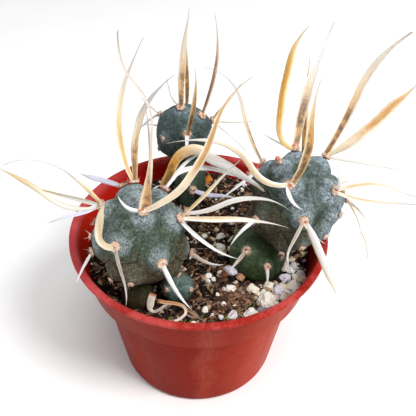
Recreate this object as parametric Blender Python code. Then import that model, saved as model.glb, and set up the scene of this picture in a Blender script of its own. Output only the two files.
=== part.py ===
"""Potted paper spine cactus: a thin red-brown nursery pot with its soil mix and pumice, and a
plant of ovoid stem segments whose areoles carry long flat papery spines.

World frame: +Z up, the pot's axis on Z, its underside at Z = 0, the front towards -Y.
Lengths below are in millimetres and are scaled to metres as the meshes are made.
"""
import math
import random

import bpy
import bmesh
from mathutils import Matrix, Vector

MM = 0.001

# ---- driving dimensions (mm, degrees) ----
POT_H = 71.4            # underside to the top of the lip
LIP_R = 51.0            # outer radius of the out-turned lip (a 10 cm pot)
LIP_IN = 48.7           # inner radius of the lip
LIP_T = 1.5             # depth of the lip's outer edge
COLLAR_TOP = 48.6       # outer radius just below the lip
COLLAR_BOTTOM = 45.3    # outer radius at the collar's lower edge
COLLAR_Z = 53.2         # height of the step under the collar
BODY_TOP = 41.2         # outer radius just below the step
FOOT_R = 34.7           # outer radius just above the rounded foot
FOOT_ROUND = 2.6        # radius of the rounded foot
WALL = 1.1              # wall thickness
BASE_T = 1.5            # thickness of the base
POT_SIDES = 48
SLOTS = 6               # drain slots round the foot
SLOT_W, SLOT_H = 11.0, 1.7
SLOT_TURN = 20          # azimuth of the slots from an even start, degrees
GAP = 0.35              # clearance between pieces that touch
SOIL_Z = 59.5           # mean height of the soil
SOIL_RISE = 0.09        # the soil climbs towards the back (+Y)
PAD_R = 1.6             # woolly areole pad
SPINE_T = 0.55          # thickness of a papery spine

# ---- stem segments: centre, half axes, lean azimuth, lean, mesh steps round and up ----
SEGMENTS = {
    "left_segment": ((-19.8, -21.5, 84.0), (17.2, 16.5, 20.5), 180, 4, 30, 18),
    "left_stem": ((-22.5, -26.0, 58.5), (6.5, 6.5, 8.0), 0, 0, 16, 10),
    "left_offset": ((-7.3, -24.5, 62.0), (6.5, 6.0, 6.0), 0, 0, 14, 9),
    "right_segment": ((35.0, -7.5, 89.5), (18.0, 15.5, 21.5), 0, 3, 30, 18),
    "right_base_segment": ((23.5, -6.5, 63.0), (11.9, 12.3, 12.0), 0, 0, 20, 12),
    "back_segment": ((-7.6, 37.0, 91.0), (12.3, 12.0, 13.0), 90, 8, 26, 16),
    "back_base_segment": ((-4.8, 30.2, 70.0), (7.2, 7.6, 14.5), 90, 18, 20, 12),
}

# ---- areoles that carry spines: segment, azimuth and elevation on it, then the spines:
# (length, width, [directions the spine runs in, start to tip, as (azimuth, elevation)]) ----
CLUSTERS = {
    "left_spines_top_left": ("left_segment", 98, 59, [
        (51, 2.3, [(145, 60), (105, 70), (50, 60), (15, 60)]),
        (43, 2.7, [(105, 75), (35, 70), (-5, 35)])]),
    "left_spines_top_right": ("left_segment", 45, 45, [
        (47, 3.0, [(45, 50), (60, 55), (10, 25), (-35, -25), (-25, -15), (-25, -15), (-35, -25)]),
        (20, 2.0, [(45, 35), (45, 30), (5, 10)]),
        (34, 2.1, [(70, 40), (10, 10), (-20, -10), (-5, 0)])]),
    "left_spines_centre": ("left_segment", -64, 62, [
        (61, 4.2, [(25, 85), (20, 80), (50, 85), (-170, 55), (45, 75)]),
        (57, 2.8, [(-5, 25), (25, 50), (45, 70), (15, 30)]),
        (11, 1.6, [(-145, 15), (120, 45)])]),
    "left_spines_right": ("left_segment", -12, 32, [
        (32, 1.3, [(10, 45), (15, 50), (5, 45)]),
        (37, 2.7, [(-5, 5), (-5, 5), (-10, -15)]),
        (25, 1.6, [(-35, -35), (-25, -25), (-5, -10)])]),
    "left_spines_shoulder": ("left_segment", 180, 48, [
        (37, 2.4, [(-165, -10), (160, 30), (170, 25)]),
        (26, 1.9, [(165, 5), (160, 0), (170, 5)]),
        (19, 2.1, [(-150, -15), (-160, -5), (-160, -10)]),
        (18, 1.7, [(160, 45), (165, 45), (170, 35)])]),
    "left_spines_lower_left": ("left_segment", -112, 27, [
        (20, 2.6, [(-130, 10), (180, 40), (100, 65), (65, 65), (60, 60), (65, 50)]),
        (21, 1.5, [(-70, -40), (-55, -60), (-105, -60)])]),
    "left_spines_lower_right": ("left_segment", -61, 6, [
        (20, 2.0, [(-60, -45), (-35, -50), (-15, -45)])]),
    "left_spines_left": ("left_segment", -160, -1, [
        (14, 1.2, [(-140, -45), (-120, -50)])]),
    "left_spines_low_side": ("left_segment", -7, -16, [
        (14, 1.6, [(-20, -40), (-5, -25), (15, 0)])]),
    "left_spines_rear_left": ("left_segment", 118, 46, [
        (18, 2.2, [(155, 0), (160, 0)])]),
    "left_spines_rear_right": ("left_segment", 18, 18, [
        (40, 2.6, [(-10, 10), (5, 30), (-10, 5), (-45, -20)])]),
    "left_spines_rear": ("left_segment", 85, 18, [
        (34, 2.4, [(85, 30), (95, 55), (110, 65)]),
        (17, 1.6, [(80, -10), (75, -40)])]),
    "left_spines_rear_low": ("left_segment", 140, -12, [
        (15, 1.6, [(140, -5), (145, -45)])]),
    "right_spines_top": ("right_segment", 117, 71, [
        (46, 2.6, [(-170, 20), (90, 70), (75, 70), (55, 70), (10, 45)]),
        (44, 3.6, [(80, 70), (55, 70), (35, 60)]),
        (13, 1.1, [(165, 10), (150, 20)])]),
    "right_spines_front": ("right_segment", -115, 48, [
        (40, 3.2, [(-5, 65), (155, 85), (-5, 80)]),
        (47, 2.8, [(-155, 0), (135, 40), (180, 10), (-165, -10)]),
        (11, 2.0, [(-100, -35), (-20, -15)])]),
    "right_spines_top_right": ("right_segment", 33, 57, [
        (50, 3.2, [(30, 60), (45, 65), (0, 35)]),
        (39, 3.4, [(0, 30), (20, 45), (20, 45)]),
        (34, 1.2, [(5, -10), (10, -20)])]),
    "right_spines_right": ("right_segment", -41, 39, [
        (18, 1.8, [(-75, 45), (150, 70), (140, 75)]),
        (29, 2.4, [(10, 20), (0, 10), (-20, -15), (-15, -5)]),
        (28, 2.4, [(-30, -10), (-15, 10), (-15, 5)])]),
    "right_spines_rear_right": ("right_segment", 0, 10, [
        (15, 0.9, [(-25, -40), (-70, -60)]),
        (13, 1.2, [(-10, -30), (-30, -50)])]),
    "right_spines_left": ("right_segment", 174, 34, [
        (17, 1.3, [(-150, -25), (-160, -35)])]),
    "right_spines_left_top": ("right_segment", 151, 37, [
        (42, 1.6, [(145, 50), (115, 60), (180, 10)])]),
    "right_spines_lower_left": ("right_segment", -141, 1, [
        (14, 1.6, [(-150, -15), (-125, -35)])]),
    "right_spines_lower": ("right_segment", -88, 15, [
        (27, 3.1, [(-60, -35), (-55, -40), (-75, -35)]),
        (19, 1.5, [(-120, -40), (-145, -60), (-30, -55)]),
        (12, 1.0, [(-50, -35), (-5, -30)])]),
    "right_spines_rear": ("right_segment", 80, 30, [
        (38, 2.6, [(80, 40), (95, 65), (85, 70)]),
        (20, 1.8, [(75, 0), (65, -35)])]),
    "right_spines_rear_left": ("right_segment", 125, -5, [
        (16, 1.7, [(130, -5), (125, -40)])]),
    "right_spines_rear_low": ("right_segment", 45, -8, [
        (22, 2.0, [(40, 10), (35, -25)])]),
    "back_spines_top": ("back_segment", -108, 74, [
        (39, 3.0, [(90, 70), (75, 70), (70, 65)]),
        (16, 1.1, [(160, 25), (110, 40), (120, 45)])]),
    "back_spines_top_right": ("back_segment", -29, 48, [
        (41, 1.9, [(45, 60), (70, 65), (125, 65)])]),
    "back_spines_front": ("back_segment", -81, 21, [
        (31, 2.1, [(-70, 60), (30, 80), (-170, 85)]),
        (9, 2.0, [(-85, -20), (-95, -15)])]),
    "back_spines_left": ("back_segment", 170, 35, [
        (12, 1.2, [(145, 20), (140, 25)]),
        (17, 1.2, [(175, -30), (-165, -60)])]),
    "back_spines_right": ("back_segment", 9, 23, [
        (22, 1.9, [(35, 35), (45, 40)]),
        (23, 1.0, [(5, -10), (20, 0)]),
        (24, 0.9, [(-40, -15), (-45, -20)])]),
    "back_spines_rear": ("back_segment", 85, 28, [
        (32, 2.4, [(85, 45), (100, 65), (90, 60)]),
        (14, 1.6, [(90, -10), (85, -40)])]),
    "back_spines_rear_left": ("back_segment", 140, -5, [
        (13, 1.4, [(140, 0), (145, -35)])]),
    "back_base_spines": ("back_base_segment", -79, -3, [
        (21, 2.6, [(-20, -15), (-5, 5), (-20, -15)]),
        (15, 1.2, [(-100, 45), (-165, 80)])]),
    "right_base_spines_left": ("right_base_segment", -124, 44, [
        (11, 1.8, [(-130, -15), (-135, -30)])]),
    "right_base_spines_front": ("right_base_segment", -76, 21, [
        (7, 1.6, [(-85, -35), (-90, -60)])]),
}

# ---- spines that aren't plain blades: a spike's broad root soon narrows to a thread ----
FORMS = {("left_spines_centre", 0): "spike"}

# ---- small areoles with only a tuft, which still raise a tubercle: azimuth, elevation ----
TUFTS = {
    "left_segment": [(-169, 12), (-136, -28), (-100, -19), (-30, -35), (40, -22), (95, -25),
                     (165, 12), (55, 10), (130, 8), (-70, 88)],
    "right_segment": [(158, 20), (-54, -9), (-104, -38), (-81, -21), (-20, 30), (-35, 10),
                      (-165, -20), (85, -15), (-170, 62), (20, 20), (15, -25)],
    "back_segment": [(-130, 7), (-161, -27), (-80, -22), (-35, 0), (35, -12), (90, -15)],
    "back_base_segment": [(-118, 30), (-30, 35), (60, 25), (150, 20)],
    "right_base_segment": [(-172, 18), (-40, 25), (60, 20), (140, 25)],
    "left_offset": [(-34, 22), (-130, 30), (80, 30)],
    "left_stem": [(-60, 10), (120, 10)],
}

# ---- loose pumice on the soil: x, y, half sizes, turn ----
PUMICE = [
    (26.0, -27.0, 3.7, 3.6, 3.2, 10), (20.2, -32.6, 3.3, 2.5, 2.5, 25),
    (20.8, -21.4, 2.3, 2.2, 2.2, 60), (12.6, -21.2, 3.1, 1.9, 1.9, -10),
    (34.6, -16.4, 2.9, 1.9, 2.0, 20), (32.8, -24.6, 2.2, 2.0, 2.1, 70),
    (40.2, -14.0, 2.0, 2.1, 1.9, 35), (27.4, -19.8, 2.5, 2.0, 2.4, 0),
    (13.1, -34.0, 2.2, 1.8, 1.7, 50), (8.7, 5.4, 2.0, 2.1, 1.8, 0),
]
BARK = (3.0, 40.3, 3.4, 2.2, 1.6, 75)
# ---- dry bits on the mix by the left stem: path, width, form ----
FALLEN = {
    "fallen_spine": ([(-14.2, -31.4, 61.9), (-12.0, -31.8, 61.8), (-9.8, -32.0, 61.8), (-7.5, -32.1, 61.5),
                      (-5.7, -32.3, 61.0), (-4.4, -32.7, 60.1), (-3.9, -33.5, 59.1), (-4.4, -35.0, 58.6),
                      (-6.2, -36.8, 58.5), (-8.2, -37.6, 58.2), (-10.2, -37.6, 58.0)], 1.3, "strip"),
    "dry_sheath": ([(-16.0, -29.4, 63.6), (-16.6, -30.6, 62.3), (-17.0, -31.9, 60.6), (-16.9, -33.0, 59.2),
                    (-15.8, -33.7, 58.6), (-14.1, -34.0, 59.6), (-12.0, -34.0, 61.4), (-10.0, -33.8, 63.0)],
                   2.8, "sheath"),
}


def material(name, color, rough, metallic=0.0):
    mat = bpy.data.materials.new(name)
    mat.use_nodes = True
    p = mat.node_tree.nodes["Principled BSDF"]
    p.inputs["Base Color"].default_value = (*color, 1.0)
    p.inputs["Roughness"].default_value = rough
    p.inputs["Metallic"].default_value = metallic
    return mat


def add(name, verts, faces, mat, smooth=True):
    mesh = bpy.data.meshes.new(name)
    mesh.from_pydata([(x * MM, y * MM, z * MM) for x, y, z in verts], [], faces)
    mesh.update()
    ob = bpy.data.objects.new(name, mesh)
    bpy.context.scene.collection.objects.link(ob)
    mesh.materials.append(mat)
    bm = bmesh.new()
    bm.from_mesh(mesh)
    bmesh.ops.recalc_face_normals(bm, faces=bm.faces)
    bm.to_mesh(mesh)
    bm.free()
    if smooth:
        mesh.shade_smooth()
        mesh.set_sharp_from_angle(angle=math.radians(35))
    return ob


def boolean(ob, other, operation):
    """One exact Boolean, applied, with the other solid used up."""
    mod = ob.modifiers.new(operation, "BOOLEAN")
    mod.object = other
    mod.operation = operation
    mod.solver = "EXACT"
    deps = bpy.context.evaluated_depsgraph_get()
    mesh = bpy.data.meshes.new_from_object(ob.evaluated_get(deps))
    ob.modifiers.clear()
    ob.data = mesh
    bpy.data.objects.remove(other)


def direction(az, el):
    a, e = math.radians(az), math.radians(el)
    return Vector((math.cos(a) * math.cos(e), math.sin(a) * math.cos(e), math.sin(e)))


def lean(az, tilt):
    """Axes of a segment that leans by tilt towards azimuth az."""
    a, t = math.radians(az), math.radians(tilt)
    z = Vector((math.cos(a) * math.sin(t), math.sin(a) * math.sin(t), math.cos(t)))
    x = (Vector((1, 0, 0)) - z * z.x).normalized()
    y = z.cross(x)
    return Matrix((x, y, z)).transposed()


def areoles(seg):
    found = [direction(az, el) for s, az, el, _ in CLUSTERS.values() if s == seg]
    return found + [direction(az, el) for az, el in TUFTS[seg]]


def swell(seg, d):
    """The segment's radius factor in direction d: low tubercles under the areoles."""
    total = 0.0
    for a in areoles(seg):
        ang = math.degrees(d.angle(a))
        total = max(total, math.exp(-(ang / 18.0) ** 2))
    return 0.905 + 0.105 * total


def on_segment(seg, d, out=0.0):
    c, axes, az, tilt, _, _ = SEGMENTS[seg]
    k = swell(seg, d)
    p = Vector((d.x * (axes[0] * k + out), d.y * (axes[1] * k + out), d.z * (axes[2] * k + out)))
    return Vector(c) + lean(az, tilt) @ p


def normal_at(seg, d):
    _, axes, az, tilt, _, _ = SEGMENTS[seg]
    n = Vector((d.x / axes[0], d.y / axes[1], d.z / axes[2]))
    return (lean(az, tilt) @ n).normalized()


def segment(name, mat, out=0.0, label=None):
    nu, nv = SEGMENTS[name][4:]
    verts = [on_segment(name, Vector((0, 0, -1)), out)]
    for j in range(1, nv):
        for i in range(nu):
            verts.append(on_segment(name, direction(360 * i / nu, -90 + 180 * j / nv), out))
    verts.append(on_segment(name, Vector((0, 0, 1)), out))
    faces = []
    for i in range(nu):
        k = (i + 1) % nu
        faces.append((0, 1 + k, 1 + i))
        for j in range(nv - 2):
            a = 1 + j * nu
            faces.append((a + i, a + k, a + nu + k, a + nu + i))
        top = 1 + (nv - 2) * nu
        faces.append((top + i, top + k, len(verts) - 1))
    return add(label or name, verts, faces, mat)


def lathe(name, profile, mat, sides=POT_SIDES):
    """Turns a profile whose first and last points lie on the axis."""
    verts = [(0, 0, profile[0][1])]
    for r, z in profile[1:-1]:
        for i in range(sides):
            a = 2 * math.pi * i / sides
            verts.append((r * math.cos(a), r * math.sin(a), z))
    verts.append((0, 0, profile[-1][1]))
    faces = []
    rows = len(profile) - 2
    for i in range(sides):
        k = (i + 1) % sides
        faces.append((0, 1 + k, 1 + i))
        for j in range(rows - 1):
            a = 1 + j * sides
            faces.append((a + i, a + k, a + sides + k, a + sides + i))
        top = 1 + (rows - 1) * sides
        faces.append((top + i, top + k, len(verts) - 1))
    return add(name, verts, faces, mat)


def inner_radius(z):
    """Inner radius of the pot wall at height z."""
    if z >= COLLAR_Z + 1.2:
        t = (z - COLLAR_Z - 1.2) / (POT_H - 2.0 - COLLAR_Z - 1.2)
        return (COLLAR_BOTTOM - WALL) + t * (COLLAR_TOP - COLLAR_BOTTOM)
    t = (z - FOOT_ROUND - 1.0) / (COLLAR_Z - FOOT_ROUND - 1.0)
    return (FOOT_R - WALL) + t * (BODY_TOP - FOOT_R)


def nursery_pot(mat):
    foot = [(FOOT_R - FOOT_ROUND * (1 - math.cos(a)), FOOT_ROUND * (1 - math.sin(a)))
            for a in (math.radians(g) for g in (90, 60, 30, 0))]
    outer = foot + [
        (BODY_TOP, COLLAR_Z - 1.6), (BODY_TOP + 0.5, COLLAR_Z - 0.9),
        (COLLAR_BOTTOM - 0.5, COLLAR_Z - 0.5), (COLLAR_BOTTOM, COLLAR_Z + 0.2),
        (COLLAR_TOP, POT_H - LIP_T - 0.5), (COLLAR_TOP + 0.5, POT_H - LIP_T),
        (LIP_R - 0.4, POT_H - LIP_T), (LIP_R, POT_H - LIP_T + 0.4),
        (LIP_R, POT_H - 0.5), (LIP_R - 0.5, POT_H)]
    inner = [
        (LIP_IN, POT_H), (LIP_IN - 0.6, POT_H - 0.4), (inner_radius(POT_H - 2.0), POT_H - 2.0),
        (inner_radius(COLLAR_Z + 1.2), COLLAR_Z + 1.2), (COLLAR_BOTTOM - WALL - 0.5, COLLAR_Z + 0.6),
        (inner_radius(COLLAR_Z) + 0.4, COLLAR_Z + 0.5), (inner_radius(COLLAR_Z), COLLAR_Z),
        (inner_radius(FOOT_ROUND + 1.0), FOOT_ROUND + 1.0), (FOOT_R - WALL - 1.2, BASE_T + 0.4),
        (FOOT_R - WALL - 2.4, BASE_T)]
    profile = [(0, 0.0)] + outer[:0] + [(FOOT_R - FOOT_ROUND, 0.0)] + outer[1:] + inner + [(0, BASE_T)]
    pot = lathe("nursery_pot", profile, mat)
    for i in range(SLOTS):
        a = 2 * math.pi * (i + 0.5) / SLOTS + math.radians(SLOT_TURN)
        x, y, z = FOOT_R - 2.2, SLOT_W / 2, SLOT_H
        pts = [(x, -y, -1), (x + 8, -y, -1), (x + 8, y, -1), (x, y, -1),
               (x, -y, z), (x + 8, -y, z), (x + 8, y, z), (x, y, z)]
        pts = [(px * math.cos(a) - py * math.sin(a), px * math.sin(a) + py * math.cos(a), pz)
               for px, py, pz in pts]
        box = add("slot", pts, [(3, 2, 1, 0), (4, 5, 6, 7), (0, 1, 5, 4), (1, 2, 6, 5),
                                (2, 3, 7, 6), (3, 0, 4, 7)], mat, smooth=False)
        boolean(pot, box, "DIFFERENCE")
    return pot


def soil_height(x, y):
    bumps = 0.5 * math.sin(0.31 * x + 0.7) * math.cos(0.27 * y) + 0.35 * math.sin(0.53 * y - 0.4 * x)
    return SOIL_Z + SOIL_RISE * y + bumps


def potting_mix(mat):
    sides = POT_SIDES
    rings = [6, 12, 18, 24, 30, 36, 41]
    verts = [(0, 0, soil_height(0, 0))]
    for r in rings:
        for i in range(sides):
            a = 2 * math.pi * i / sides
            x, y = r * math.cos(a), r * math.sin(a)
            verts.append((x, y, soil_height(x, y)))
    for i in range(sides):
        a = 2 * math.pi * i / sides
        z = soil_height(44 * math.cos(a), 44 * math.sin(a))
        r = inner_radius(z) - GAP
        verts.append((r * math.cos(a), r * math.sin(a), z))
    lower = [(COLLAR_BOTTOM - WALL - GAP, COLLAR_Z + 1.3), (COLLAR_BOTTOM - WALL - 0.9 - GAP, COLLAR_Z + 1.0),
             (inner_radius(COLLAR_Z) - GAP, COLLAR_Z + 0.5),
             (inner_radius(FOOT_ROUND + 1.0) - GAP, FOOT_ROUND + 1.2),
             (FOOT_R - WALL - 3.0, BASE_T + GAP)]
    for r, z in lower:
        for i in range(sides):
            a = 2 * math.pi * i / sides
            verts.append((r * math.cos(a), r * math.sin(a), z))
    verts.append((0, 0, BASE_T + GAP))
    faces = []
    rows = len(rings) + 1 + len(lower)
    for i in range(sides):
        k = (i + 1) % sides
        faces.append((0, 1 + i, 1 + k))
        for j in range(rows - 1):
            a = 1 + j * sides
            faces.append((a + i, a + sides + i, a + sides + k, a + k))
        low = 1 + (rows - 1) * sides
        faces.append((low + i, len(verts) - 1, low + k))
    return add("potting_mix", verts, faces, mat)


def pebble(name, x, y, sx, sy, sz, turn, mat, seed, out=0.0):
    """An angular stone, a third of it sunk in the mix."""
    rng = random.Random(seed)
    bm = bmesh.new()
    bmesh.ops.create_icosphere(bm, subdivisions=2, radius=1.0)
    bm.verts.ensure_lookup_table()
    bumps = [(Vector((rng.uniform(-1, 1), rng.uniform(-1, 1), rng.uniform(-1, 1))).normalized(),
              rng.uniform(-0.22, 0.16)) for _ in range(7)]
    rot = Matrix.Rotation(math.radians(turn), 3, "Z")
    verts = []
    z = soil_height(x, y) + 0.35 * sz
    for v in bm.verts:
        k = 1.0 + sum(h * max(0.0, v.co.dot(d)) ** 3 for d, h in bumps)
        p = Vector((v.co.x * (sx * k + out), v.co.y * (sy * k + out), v.co.z * (sz * k + out)))
        verts.append(Vector((x, y, z)) + rot @ p)
    faces = [tuple(v.index for v in f.verts) for f in bm.faces]
    bm.free()
    return add(name, verts, faces, mat, smooth=False)


def centreline(start, dirs, length, n):
    """A path whose heading turns evenly through the given directions."""
    ds = [direction(az, el) for az, el in dirs]
    pts = [start.copy()]
    sub = 4
    p = start.copy()
    for i in range(n * sub):
        s = (i + 0.5) / (n * sub) * (len(ds) - 1)
        k = min(int(s), len(ds) - 2)
        f = s - k
        d = ((1 - f) * ds[k] + f * ds[k + 1]).normalized()
        p = p + d * (length / (n * sub))
        if (i + 1) % sub == 0:
            pts.append(p.copy())
    return pts


def ease(s, a, b):
    """Smooth 0 to 1 as s goes from a to b."""
    t = min(1.0, max(0.0, (s - a) / (b - a)))
    return t * t * (3 - 2 * t)


def blade_width(s, width, form="blade"):
    """A spine is narrow at its root, widest low down, and drawn out to a hair at its tip."""
    if form == "spike":
        return width * (1 - 0.72 * ease(s, 0.02, 0.36)) * (1 - 0.7 * ease(s, 0.75, 1.0))
    if form == "strip":
        return width * (1 - 0.3 * ease(s, 0.0, 1.0))
    if form == "sheath":
        return width * (1 - 0.6 * ease(s, 0.3, 0.55))
    grow = 0.72 + 0.28 * min(1.0, s / 0.18)
    fade = (1.0 - s ** 2.2) ** 0.9
    return width * grow * fade


def across(pts, face):
    """How far the path stays from running along face: the least sine of the angle between them."""
    return min((b - a).normalized().cross(face).length for a, b in zip(pts, pts[1:]))


def blade(name, pts, width, face, mat, form="blade"):
    """A flat spine: lens-shaped section along pts, its broad side turned to face."""
    n = len(pts) - 1
    verts, faces = [], []
    last = None
    for i in range(n):
        t = (pts[min(i + 1, n)] - pts[max(i - 1, 0)]).normalized()
        side = t.cross(face).normalized()
        if last and side.dot(last) < 0:      # a doubled-back blade keeps its edges where they were
            side = -side
        last = side
        out = side.cross(t).normalized()
        w = blade_width(i / n, width, form)
        th = min(SPINE_T, 0.45 * w)
        for u, v in ((w / 2, 0), (0, th / 2), (-w / 2, 0), (0, -th / 2)):
            verts.append(pts[i] + side * u + out * v)
    verts.append(pts[n])
    for i in range(n - 1):
        for k in range(4):
            m = (k + 1) % 4
            faces.append((4 * i + k, 4 * i + m, 4 * i + 4 + m, 4 * i + 4 + k))
    for k in range(4):
        faces.append((4 * (n - 1) + k, 4 * (n - 1) + (k + 1) % 4, 4 * n))
    faces.append((3, 2, 1, 0))
    return add(name, verts, faces, mat)


def cluster(name, mat):
    seg, az, el, spines = CLUSTERS[name]
    d = direction(az, el)
    n = normal_at(seg, d)
    root = on_segment(seg, d)
    big = max(w for _, w, _ in spines)
    radius = PAD_R if big > 1.7 else 0.8 * PAD_R
    u = n.cross(Vector((0, 0, 1)) if abs(n.z) < 0.9 else Vector((1, 0, 0))).normalized()
    v = n.cross(u)
    verts = []
    for r, h in ((0.8, GAP), (1.0, GAP + 0.55), (0.6, GAP + 1.05)):
        for i in range(8):
            a = 2 * math.pi * i / 8
            verts.append(root + n * h + (u * math.cos(a) + v * math.sin(a)) * (radius * r))
    faces = [tuple(range(7, -1, -1)), tuple(range(16, 24))]
    for j in range(2):
        for i in range(8):
            k = (i + 1) % 8
            faces.append((8 * j + i, 8 * j + k, 8 * j + 8 + k, 8 * j + 8 + i))
    pad = add(name, verts, faces, mat)
    face = Vector((0, -0.8, 0.6)) if n.y < 0.75 else Vector((0, 0.8, 0.6))
    choices = (face, Vector((0, 0, 1)), Vector((1, 0, 0)))
    for i, (length, width, dirs) in enumerate(spines):
        steps = max(4, len(dirs) + 1, min(9, round(length / 5)))
        # the roots of an areole's spines stand side by side on it
        shift = (i - (len(spines) - 1) / 2) * 0.42
        start = root + n * (GAP + 0.5) + u * shift
        pts = centreline(start, dirs, length, steps)
        # no two blades lie quite flat to each other
        twist = Matrix.Rotation(math.radians((37 * i + 23 * len(name)) % 61 - 30), 3, pts[1] - pts[0])
        looks = [twist @ f for f in choices]
        turned = next((f for f in looks if across(pts, f) > 0.25), max(looks, key=lambda f: across(pts, f)))
        form = FORMS.get((name, i), "blade")
        boolean(pad, blade("spine", pts, width, turned, mat, form), "UNION")
    pad.data.name = name
    return pad


def main():
    for ob in list(bpy.data.objects):
        bpy.data.objects.remove(ob, do_unlink=True)

    red = material("red_plastic", (0.42, 0.06, 0.035), 0.42)
    mix = material("potting_mix", (0.07, 0.04, 0.022), 0.95)
    stone = material("pumice", (0.62, 0.58, 0.50), 0.9)
    bark = material("bark", (0.42, 0.17, 0.04), 0.85)
    skin = material("blue_green_skin", (0.10, 0.15, 0.13), 0.6)
    paper = material("papery_spine", (0.62, 0.48, 0.29), 0.6)

    nursery_pot(red)
    soil = potting_mix(mix)

    for i, (x, y, sx, sy, sz, turn) in enumerate(PUMICE):
        pebble(f"pumice_{i + 1}", x, y, sx, sy, sz, turn, stone, i)
        boolean(soil, pebble("hole", x, y, sx, sy, sz, turn, mix, i, GAP), "DIFFERENCE")
    x, y, sx, sy, sz, turn = BARK
    pebble("bark_chip", x, y, sx, sy, sz, turn, bark, 40)
    boolean(soil, pebble("hole", x, y, sx, sy, sz, turn, mix, 40, GAP), "DIFFERENCE")

    made = {name: segment(name, skin) for name in SEGMENTS}
    # each lower segment is hollowed where the one above it sits on it
    for low, high in (("left_stem", "left_segment"), ("right_base_segment", "right_segment"),
                      ("back_base_segment", "back_segment")):
        boolean(made[low], segment(high, skin, GAP, "seat"), "DIFFERENCE")
    for low in ("left_stem", "left_offset", "right_base_segment", "back_base_segment"):
        boolean(soil, segment(low, mix, GAP, "socket"), "DIFFERENCE")

    for name in CLUSTERS:
        cluster(name, paper)

    for name, (path, width, form) in FALLEN.items():
        blade(name, [Vector(p) for p in path], width, Vector((0.1, -0.75, 0.65)), paper, form)


main()
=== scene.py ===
"""Looks of the potted paper spine cactus: the plant's skin, areoles and papery spines, the
plastic pot, the soil mix and the pumice, round the fixed frame. Lengths in mm unless said."""
import math
import random

import bpy
import bmesh
import numpy as np
from mathutils import Matrix, Vector, noise


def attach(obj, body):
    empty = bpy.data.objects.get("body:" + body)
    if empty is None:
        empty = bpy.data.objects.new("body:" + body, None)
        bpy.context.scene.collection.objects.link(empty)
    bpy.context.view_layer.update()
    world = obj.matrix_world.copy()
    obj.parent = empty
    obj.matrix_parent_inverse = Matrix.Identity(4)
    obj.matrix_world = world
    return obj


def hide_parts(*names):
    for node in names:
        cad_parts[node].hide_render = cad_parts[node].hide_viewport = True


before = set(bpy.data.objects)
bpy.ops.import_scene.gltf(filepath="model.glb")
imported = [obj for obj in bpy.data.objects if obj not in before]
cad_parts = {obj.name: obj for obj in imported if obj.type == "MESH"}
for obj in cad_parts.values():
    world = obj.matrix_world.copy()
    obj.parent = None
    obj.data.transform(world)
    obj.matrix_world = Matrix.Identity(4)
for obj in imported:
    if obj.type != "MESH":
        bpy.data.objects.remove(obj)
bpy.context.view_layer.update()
MM = 0.001
scene = bpy.context.scene

# ---------------------------------------------------------------- dimensions, as in the solids
POT_H, LIP_R, LIP_IN, LIP_T = 71.4, 51.0, 48.7, 1.5
COLLAR_TOP, COLLAR_BOTTOM, COLLAR_Z = 48.6, 45.3, 53.2
BODY_TOP, FOOT_R, FOOT_ROUND = 41.2, 34.7, 2.6
WALL, BASE_T = 1.1, 1.5
SLOTS, SLOT_W, SLOT_H, SLOT_TURN = 6, 11.0, 1.7, 20
GAP = 0.35
SOIL_Z, SOIL_RISE = 59.5, 0.09
PAD_R = 1.6

SEGMENTS = {
    "left_segment": ((-19.8, -21.5, 84.0), (17.2, 16.5, 20.5), 180, 4),
    "left_stem": ((-22.5, -26.0, 58.5), (6.5, 6.5, 8.0), 0, 0),
    "left_offset": ((-7.3, -24.5, 62.0), (6.5, 6.0, 6.0), 0, 0),
    "right_segment": ((35.0, -7.5, 89.5), (18.0, 15.5, 21.5), 0, 3),
    "right_base_segment": ((23.5, -6.5, 63.0), (11.9, 12.3, 12.0), 0, 0),
    "back_segment": ((-7.6, 37.0, 91.0), (12.3, 12.0, 13.0), 90, 8),
    "back_base_segment": ((-4.8, 30.2, 70.0), (7.2, 7.6, 14.5), 90, 18),
}

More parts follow.
